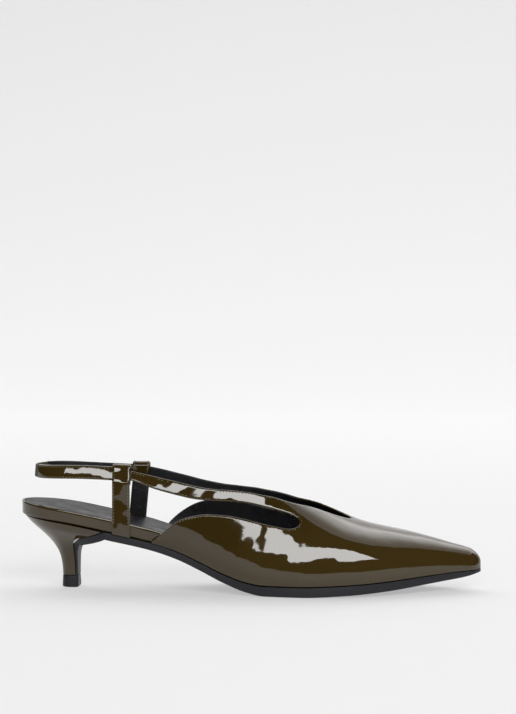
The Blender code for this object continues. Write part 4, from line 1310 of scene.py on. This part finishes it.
class Socket:
    """An output of a shader's node, which takes part in sums like a number."""

    def __init__(self, shader, output):
        self.shader = shader
        self.output = output

    @property
    def is_vector(self):
        return self.output.type in {"VECTOR", "RGBA"}

    def sum(self, operation, first, second):
        vector = any(isinstance(term, Socket) and term.is_vector for term in (first, second))
        vector = vector or any(isinstance(term, (tuple, Vector)) for term in (first, second))
        kind = "ShaderNodeVectorMath" if vector else "ShaderNodeMath"
        return self.shader.node(kind, {"operation": operation}, {0: first, 1: second})

    def __add__(self, other):
        return self.sum("ADD", self, other)

    def __radd__(self, other):
        return self.sum("ADD", other, self)

    def __sub__(self, other):
        return self.sum("SUBTRACT", self, other)

    def __rsub__(self, other):
        return self.sum("SUBTRACT", other, self)

    def __mul__(self, other):
        return self.sum("MULTIPLY", self, other)

    def __rmul__(self, other):
        return self.sum("MULTIPLY", other, self)

    def between(self, low, high, to_low=0.0, to_high=1.0):
        """The value's way from low to high, kept to it, as a value from to_low to to_high."""
        return self.shader.node(
            "ShaderNodeMapRange", {"interpolation_type": "SMOOTHSTEP"},
            {"Value": self, "From Min": low, "From Max": high, "To Min": to_low, "To Max": to_high},
        )

    def blend(self, start, end):
        """Colour between start and end, by this value."""
        return self.shader.node(
            "ShaderNodeMix", {"data_type": "RGBA"}, {"Factor": self, "A": start, "B": end}, "Result",
        )


class Shader:
    """Node tree of one finish, around one principled shader."""

    def __init__(self, name, roughness, **constants):
        self.material = bpy.data.materials.new(name)
        self.material.use_nodes = True
        self.tree = self.material.node_tree
        self.base = self.tree.nodes["Principled BSDF"]
        self.base.inputs["Roughness"].default_value = roughness
        for socket, value in constants.items():
            self.base.inputs[socket.replace("_", " ")].default_value = value
        self.place = self.node("ShaderNodeTexCoord", output="Object")

    def node(self, kind, settings=None, inputs=None, output=0):
        """A new node with its settings and inputs, as one of its outputs."""
        node = self.tree.nodes.new(kind)
        for name, value in (settings or {}).items():
            setattr(node, name, value)
        for name, value in (inputs or {}).items():
            self.feed(self.find(node.inputs, name), value)
        return Socket(self, self.find(node.outputs, output))

    @staticmethod
    def find(sockets, name):
        """The usable socket of that name or number."""
        if isinstance(name, int):
            return sockets[name]
        return next(socket for socket in sockets if socket.name == name and socket.enabled)

    def feed(self, socket, value):
        if isinstance(value, Socket):
            self.tree.links.new(value.output, socket)
        elif socket.type == "RGBA":
            socket.default_value = (*value, 1.0)
        else:
            socket.default_value = value

    def noise(self, grain, detail=2.0, roughness=0.5, place=None):
        """Cloudy value from 0 to 1 with patches of the grain's length."""
        return self.node(
            "ShaderNodeTexNoise", {"noise_dimensions": "3D"},
            {"Vector": place or self.place, "Scale": 1 / grain, "Detail": detail, "Roughness": roughness},
        )

    def cells(self, grain):
        """Distance from the nearest of many scattered points, in shares of the grain's length."""
        return self.node(
            "ShaderNodeTexVoronoi", {"feature": "F1"}, {"Vector": self.place, "Scale": 1 / grain}, "Distance",
        )

    def bands(self, pitch, direction, distortion=0.0):
        """Value from 0 to 1 that swells in even bands of that pitch."""
        return self.node(
            "ShaderNodeTexWave", {"bands_direction": direction},
            {"Vector": self.place, "Scale": 0.5 / pitch, "Distortion": distortion}, "Fac",
        )

    def axis(self, name):
        """The place along one axis."""
        return self.node("ShaderNodeSeparateXYZ", {}, {"Vector": self.place}, name)

    def relief(self, height, depth, normal=None):
        """Normal of a surface with that height field, whose whole range is depth."""
        inputs = {"Strength": 1.0, "Distance": depth, "Height": height}
        if normal:
            inputs["Normal"] = normal
        return self.node("ShaderNodeBump", {}, inputs)

    def paint(self, **inputs):
        for name, value in inputs.items():
            self.feed(self.base.inputs[name.replace("_", " ")], value)


def shade(tone, amount):
    """The colour, darker or lighter by the amount."""
    return [part * amount for part in tone]


def patent_leather(colours):
    """Clear gloss over olive, with slow waves of the hide under it."""
    shader = Shader("olive_patent_leather", 0.035, IOR=1.62)
    tone = shader.noise(grain=0.060).between(0.35, 0.65)
    waves = shader.relief(shader.noise(grain=0.014, detail=1.0, roughness=0.4), depth=0.00045)
    ripples = shader.relief(shader.noise(grain=0.0040, detail=0.0), depth=0.000035, normal=waves)
    shader.paint(
        Base_Color=tone.blend(colours.patent[:], colours.patent_light[:]), Normal=ripples,
        Roughness=shader.noise(grain=0.020).between(0.3, 0.7, to_low=0.028, to_high=0.050),
    )


def creased_leather(name, colours, stretch):
    """Dull black leather with fine creases, long in one direction, some of them painted paler as highlights
    where they catch light.
    """
    shader = Shader(name, 0.46, IOR=1.5, Specular_IOR_Level=0.35)
    creases = shader.noise(grain=0.00055, place=shader.place * stretch)
    # Paler creases, in patches: painted highlights
    crease_glints = creases.between(0.60, 0.74)
    patches = shader.noise(grain=0.0080).between(0.42, 0.66)
    grain = shader.cells(grain=0.00050)
    height = creases * 0.75 + grain * 0.25
    # Darker in the grain's pits: painted shade
    dark = grain.between(0.2, 0.8).blend(shade(colours.lining, 0.45), shade(colours.lining, 0.9))
    shader.paint(
        Base_Color=(crease_glints * patches).blend(dark, shade(colours.lining, 5.5)),
        Roughness=patches.between(0.0, 1.0, to_low=0.50, to_high=0.36),
        Normal=shader.relief(height, depth=0.00024),
    )


def lining_leather(colours):
    """Lining of the upper, creased upwards."""
    creased_leather("black_lining_leather", colours, stretch=(1.0, 1.0, 0.16))


def strap_lining_leather(colours):
    """Lining of the straps, creased along the shoe."""
    creased_leather("black_strap_lining", colours, stretch=(0.16, 1.0, 1.0))


def sock_leather(colours):
    """Black sock, streaked along the foot, the streaks painted paler as sheen."""
    shader = Shader("black_sock_leather", 0.42, IOR=1.5, Specular_IOR_Level=0.10)
    streaks = shader.noise(grain=0.0011, detail=3.0, place=shader.place * (0.10, 1.0, 1.0))
    clouds = shader.noise(grain=0.011)
    # Paler streaks in clouds: painted sheen
    painted_sheen = (streaks.between(0.52, 0.70) * clouds.between(0.40, 0.62)).between(0.0, 1.0)
    height = streaks * 0.7 + shader.cells(grain=0.0007) * 0.3
    shader.paint(
        Base_Color=painted_sheen.blend(colours.sock[:], shade(colours.sock, 4.5)),
        Roughness=clouds.between(0.3, 0.7, to_low=0.46, to_high=0.34),
        Normal=shader.relief(height, depth=0.00016),
    )


def sole_leather(colours):
    """Black sole, brushed along its length."""
    shader = Shader("black_sole_leather", 0.44, IOR=1.5, Specular_IOR_Level=0.30)
    brushed = shader.noise(grain=0.0006, place=shader.place * (0.12, 1.0, 1.0))
    shader.paint(
        Base_Color=shader.noise(grain=0.010, detail=3.0).blend(colours.sole[:], shade(colours.sole, 1.35)),
        Roughness=brushed.between(0.3, 0.7, to_low=0.38, to_high=0.52),
        Normal=shader.relief(brushed, depth=0.00005),
    )


def lift_rubber(colours):
    """Black rubber with fine specks."""
    shader = Shader("black_lift_rubber", 0.50, IOR=1.5, Specular_IOR_Level=0.25)
    specks = shader.noise(grain=0.0004)
    shader.paint(
        Base_Color=specks.between(0.4, 0.7).blend(colours.sole[:], shade(colours.sole, 1.3)),
        Roughness=shader.noise(grain=0.003).between(0.3, 0.7, to_low=0.36, to_high=0.50),
        Normal=shader.relief(specks, depth=0.00003),
    )


def elastic_cloth(colours):
    """Ribbed elastic, its ribs along the band, with painted shade in the valleys between them."""
    shader = Shader("olive_elastic", 0.75, IOR=1.45)
    weave = shader.noise(grain=0.00035)
    height = shader.bands(pitch=0.0011, direction="Z", distortion=0.4) * 0.7 + weave * 0.3
    shader.paint(
        # Colour darker in the valleys between the ribs: painted shade
        Base_Color=height.between(0.2, 0.8).blend(shade(colours.elastic, 0.55), colours.elastic[:]),
        Roughness=weave.between(0.3, 0.7, to_low=0.65, to_high=0.85),
        Normal=shader.relief(height, depth=0.00020),
    )


def sewing_thread(colours):
    """Twisted thread, with painted shade in the grooves of its twist."""
    shader = Shader("olive_thread", 0.40, IOR=1.5)
    twist = shader.bands(pitch=0.00018, direction="DIAGONAL")
    shader.paint(
        # Colour darker in the grooves of the twist: painted shade
        Base_Color=twist.blend(shade(colours.thread, 0.6), colours.thread[:]),
        Roughness=twist.between(0.0, 1.0, to_low=0.32, to_high=0.48),
        Normal=shader.relief(twist, depth=0.00005),
    )


def studio_paper(colours):
    """Paper that glows faintly at the floor, and brightly where it bends over behind the shoe."""
    glow, bright = 0.42, 2.1
    shader = Shader("studio_paper", 0.9, Emission_Strength=bright, Specular_IOR_Level=0.1)
    overhead = shader.axis("Z").between(0.80, 1.7) * shader.axis("Y").between(0.1, 1.9)
    grain = shader.noise(grain=0.0015, detail=3.0)
    shader.paint(
        Base_Color=grain.blend(shade(colours.floor, 0.52), shade(colours.floor, 0.53)),
        Emission_Color=overhead.blend((glow / bright,) * 3, (1.0, 1.0, 1.0)),
    )


def diffuser_cloth(colours):
    """White cloth with a lamp behind it."""
    shader = Shader("diffuser_cloth", 0.9, Emission_Strength=8.2)
    weave = shader.noise(grain=0.004)
    shader.paint(
        Base_Color=weave.blend(shade(colours.floor, 0.9), colours.floor[:]),
        Emission_Color=weave.blend((0.99, 0.99, 0.99), (1.0, 1.0, 1.0)),
    )


FINISHES = (
    patent_leather, lining_leather, strap_lining_leather, sock_leather, sole_leather, lift_rubber,
    elastic_cloth, sewing_thread, studio_paper, diffuser_cloth,
)


# Studio

ROOM = (0.035, 0.035, 0.035, 1.0)


def studio_sheet(scene):
    """Floor that curves up into the backdrop behind the shoe, and on into a lit sheet over it."""
    front, bend, bend_radius = -0.355, 1.5, 0.8
    over_y, over_z, over_depth, over_height = 1.3, 1.6, 1.0, 0.8
    over_front, half_width, steps = -0.3, 3.0, 12
    line = [(front, 0.0), (bend, 0.0)]
    for i in range(1, steps + 1):
        angle = math.pi / 2 * i / steps
        line.append((bend + bend_radius * math.sin(angle), bend_radius - bend_radius * math.cos(angle)))
    for i in range(steps + 1):
        angle = math.pi / 2 * i / steps
        line.append((over_y + over_depth * math.cos(angle), over_z + over_height * math.sin(angle)))
    line.append((over_front, over_z + over_height))
    points = [(x, y, z) for y, z in line for x in (-half_width, half_width)]
    faces = [(2 * i, 2 * i + 1, 2 * i + 3, 2 * i + 2) for i in range(len(line) - 1)]
    mesh = bpy.data.meshes.new("studio_sheet")
    mesh.from_pydata(points, [], faces)
    mesh.shade_smooth()
    mesh.materials.append(bpy.data.materials["studio_paper"])
    sheet = bpy.data.objects.new("studio_sheet", mesh)
    scene.collection.objects.link(sheet)


def diffuser(scene):
    """Lit cloth in front of the shoe, its edges rising towards the toe's side."""
    y = -1.70
    corners = [(-0.66, y, 0.29), (1.98, y, 1.33), (1.13, y, 2.13), (-0.52, y, 0.50)]
    mesh = bpy.data.meshes.new("diffuser")
    mesh.from_pydata(corners, [], [(3, 2, 1, 0)])
    mesh.materials.append(bpy.data.materials["diffuser_cloth"])
    cloth = bpy.data.objects.new("diffuser", mesh)
    scene.collection.objects.link(cloth)


# Operators


class ShoeStep:
    """Settings shared by the steps."""

    bl_options = {"REGISTER", "UNDO"}


class SHOE_OT_finishes(ShoeStep, bpy.types.Operator):
    """Make the leathers, the linings, the thread and the studio's paper"""

    bl_idname = "shoe.finishes"
    bl_label = "Finishes"

    def execute(self, context):
        for finish in FINISHES:
            finish(context.scene.shoe_colours)
        return {"FINISHED"}


class SHOE_OT_upper(ShoeStep, bpy.types.Operator):
    """Make the upper with its lining, folded edges and seams"""

    bl_idname = "shoe.upper"
    bl_label = "Upper"

    def execute(self, context):
        maker = Maker(context.scene)
        upper = maker.upper()
        maker.upper_seams(upper)
        return {"FINISHED"}


class SHOE_OT_heel(ShoeStep, bpy.types.Operator):
    """Make the covered heel and its top lift"""

    bl_idname = "shoe.heel"
    bl_label = "Heel"

    def execute(self, context):
        maker = Maker(context.scene)
        maker.heel()
        maker.top_lift()
        return {"FINISHED"}


class SHOE_OT_sole(ShoeStep, bpy.types.Operator):
    """Make the outsole"""

    bl_idname = "shoe.sole"
    bl_label = "Outsole"

    def execute(self, context):
        Maker(context.scene).outsole()
        return {"FINISHED"}


class SHOE_OT_insole(ShoeStep, bpy.types.Operator):
    """Make the covered insole board and the sock"""

    bl_idname = "shoe.insole"
    bl_label = "Insole"

    def execute(self, context):
        maker = Maker(context.scene)
        maker.board()
        maker.sock()
        return {"FINISHED"}


class SHOE_OT_sling(ShoeStep, bpy.types.Operator):
    """Make the sling's straps, its elastic and its seams"""

    bl_idname = "shoe.sling"
    bl_label = "Sling"

    def execute(self, context):
        maker = Maker(context.scene)
        maker.sling()
        maker.sling_seams()
        return {"FINISHED"}


class SHOE_OT_stays(ShoeStep, bpy.types.Operator):
    """Make the two stay straps and their seams"""

    bl_idname = "shoe.stays"
    bl_label = "Stay straps"

    def execute(self, context):
        maker = Maker(context.scene)
        maker.stay(LATERAL)
        maker.stay(MEDIAL)
        maker.stay_seams()
        return {"FINISHED"}


class SHOE_OT_studio(ShoeStep, bpy.types.Operator):
    """Make the paper sheet, the lit cloth and the camera"""

    bl_idname = "shoe.studio"
    bl_label = "Studio"

    def execute(self, context):
        scene = context.scene
        studio = scene.shoe_studio
        studio_sheet(scene)
        diffuser(scene)
        world = bpy.data.worlds.new("studio_dark")
        world.use_nodes = True
        world.node_tree.nodes["Background"].inputs["Color"].default_value = ROOM
        scene.world = world
        lens = bpy.data.cameras.new("camera")
        lens.lens = studio.lens
        camera = bpy.data.objects.new("camera", lens)
        camera.location = (studio.camera_x, studio.camera_y, studio.camera_z)
        camera.rotation_euler = (studio.pitch, 0.0, studio.yaw)
        scene.collection.objects.link(camera)
        scene.camera = camera
        scene.view_settings.view_transform = "Standard"
        return {"FINISHED"}


class SHOE_PT_panel(bpy.types.Panel):
    """Steps of the slingback pump in the sidebar"""

    bl_label = "Slingback pump"
    bl_idname = "SHOE_PT_panel"
    bl_space_type = "VIEW_3D"
    bl_region_type = "UI"
    bl_category = "Shoe"

    def draw(self, context):
        for step in STEPS:
            self.layout.operator(step.bl_idname)
        for group in SETTINGS:
            box = self.layout.box()
            box.label(text=group.replace("_", " ").capitalize())
            settings = getattr(context.scene, group)
            for name in settings.__annotations__:
                box.prop(settings, name)


STEPS = (
    SHOE_OT_finishes, SHOE_OT_upper, SHOE_OT_heel, SHOE_OT_sole, SHOE_OT_insole, SHOE_OT_sling, SHOE_OT_stays,
    SHOE_OT_studio,
)
SETTINGS = {
    "shoe_last": ShoeLastSizes,
    "shoe_trim": ShoeTrimSizes,
    "shoe_stitch": ShoeStitchSizes,
    "shoe_colours": ShoeColours,
    "shoe_studio": ShoeStudio,
    "shoe_fineness": ShoeFineness,
}


def register():
    for kind in (*SETTINGS.values(), *STEPS, SHOE_PT_panel):
        bpy.utils.register_class(kind)
    for name, kind in SETTINGS.items():
        setattr(bpy.types.Scene, name, bpy.props.PointerProperty(type=kind))


def unregister():
    for name in SETTINGS:
        delattr(bpy.types.Scene, name)
    for kind in reversed((*SETTINGS.values(), *STEPS, SHOE_PT_panel)):
        bpy.utils.unregister_class(kind)


def main():
    """Make the shoe and its studio."""
    register()
    bpy.ops.shoe.finishes()
    bpy.ops.shoe.upper()
    bpy.ops.shoe.heel()
    bpy.ops.shoe.sole()
    bpy.ops.shoe.insole()
    bpy.ops.shoe.sling()
    bpy.ops.shoe.stays()
    bpy.ops.shoe.studio()


if __name__ == "__main__":
    main()
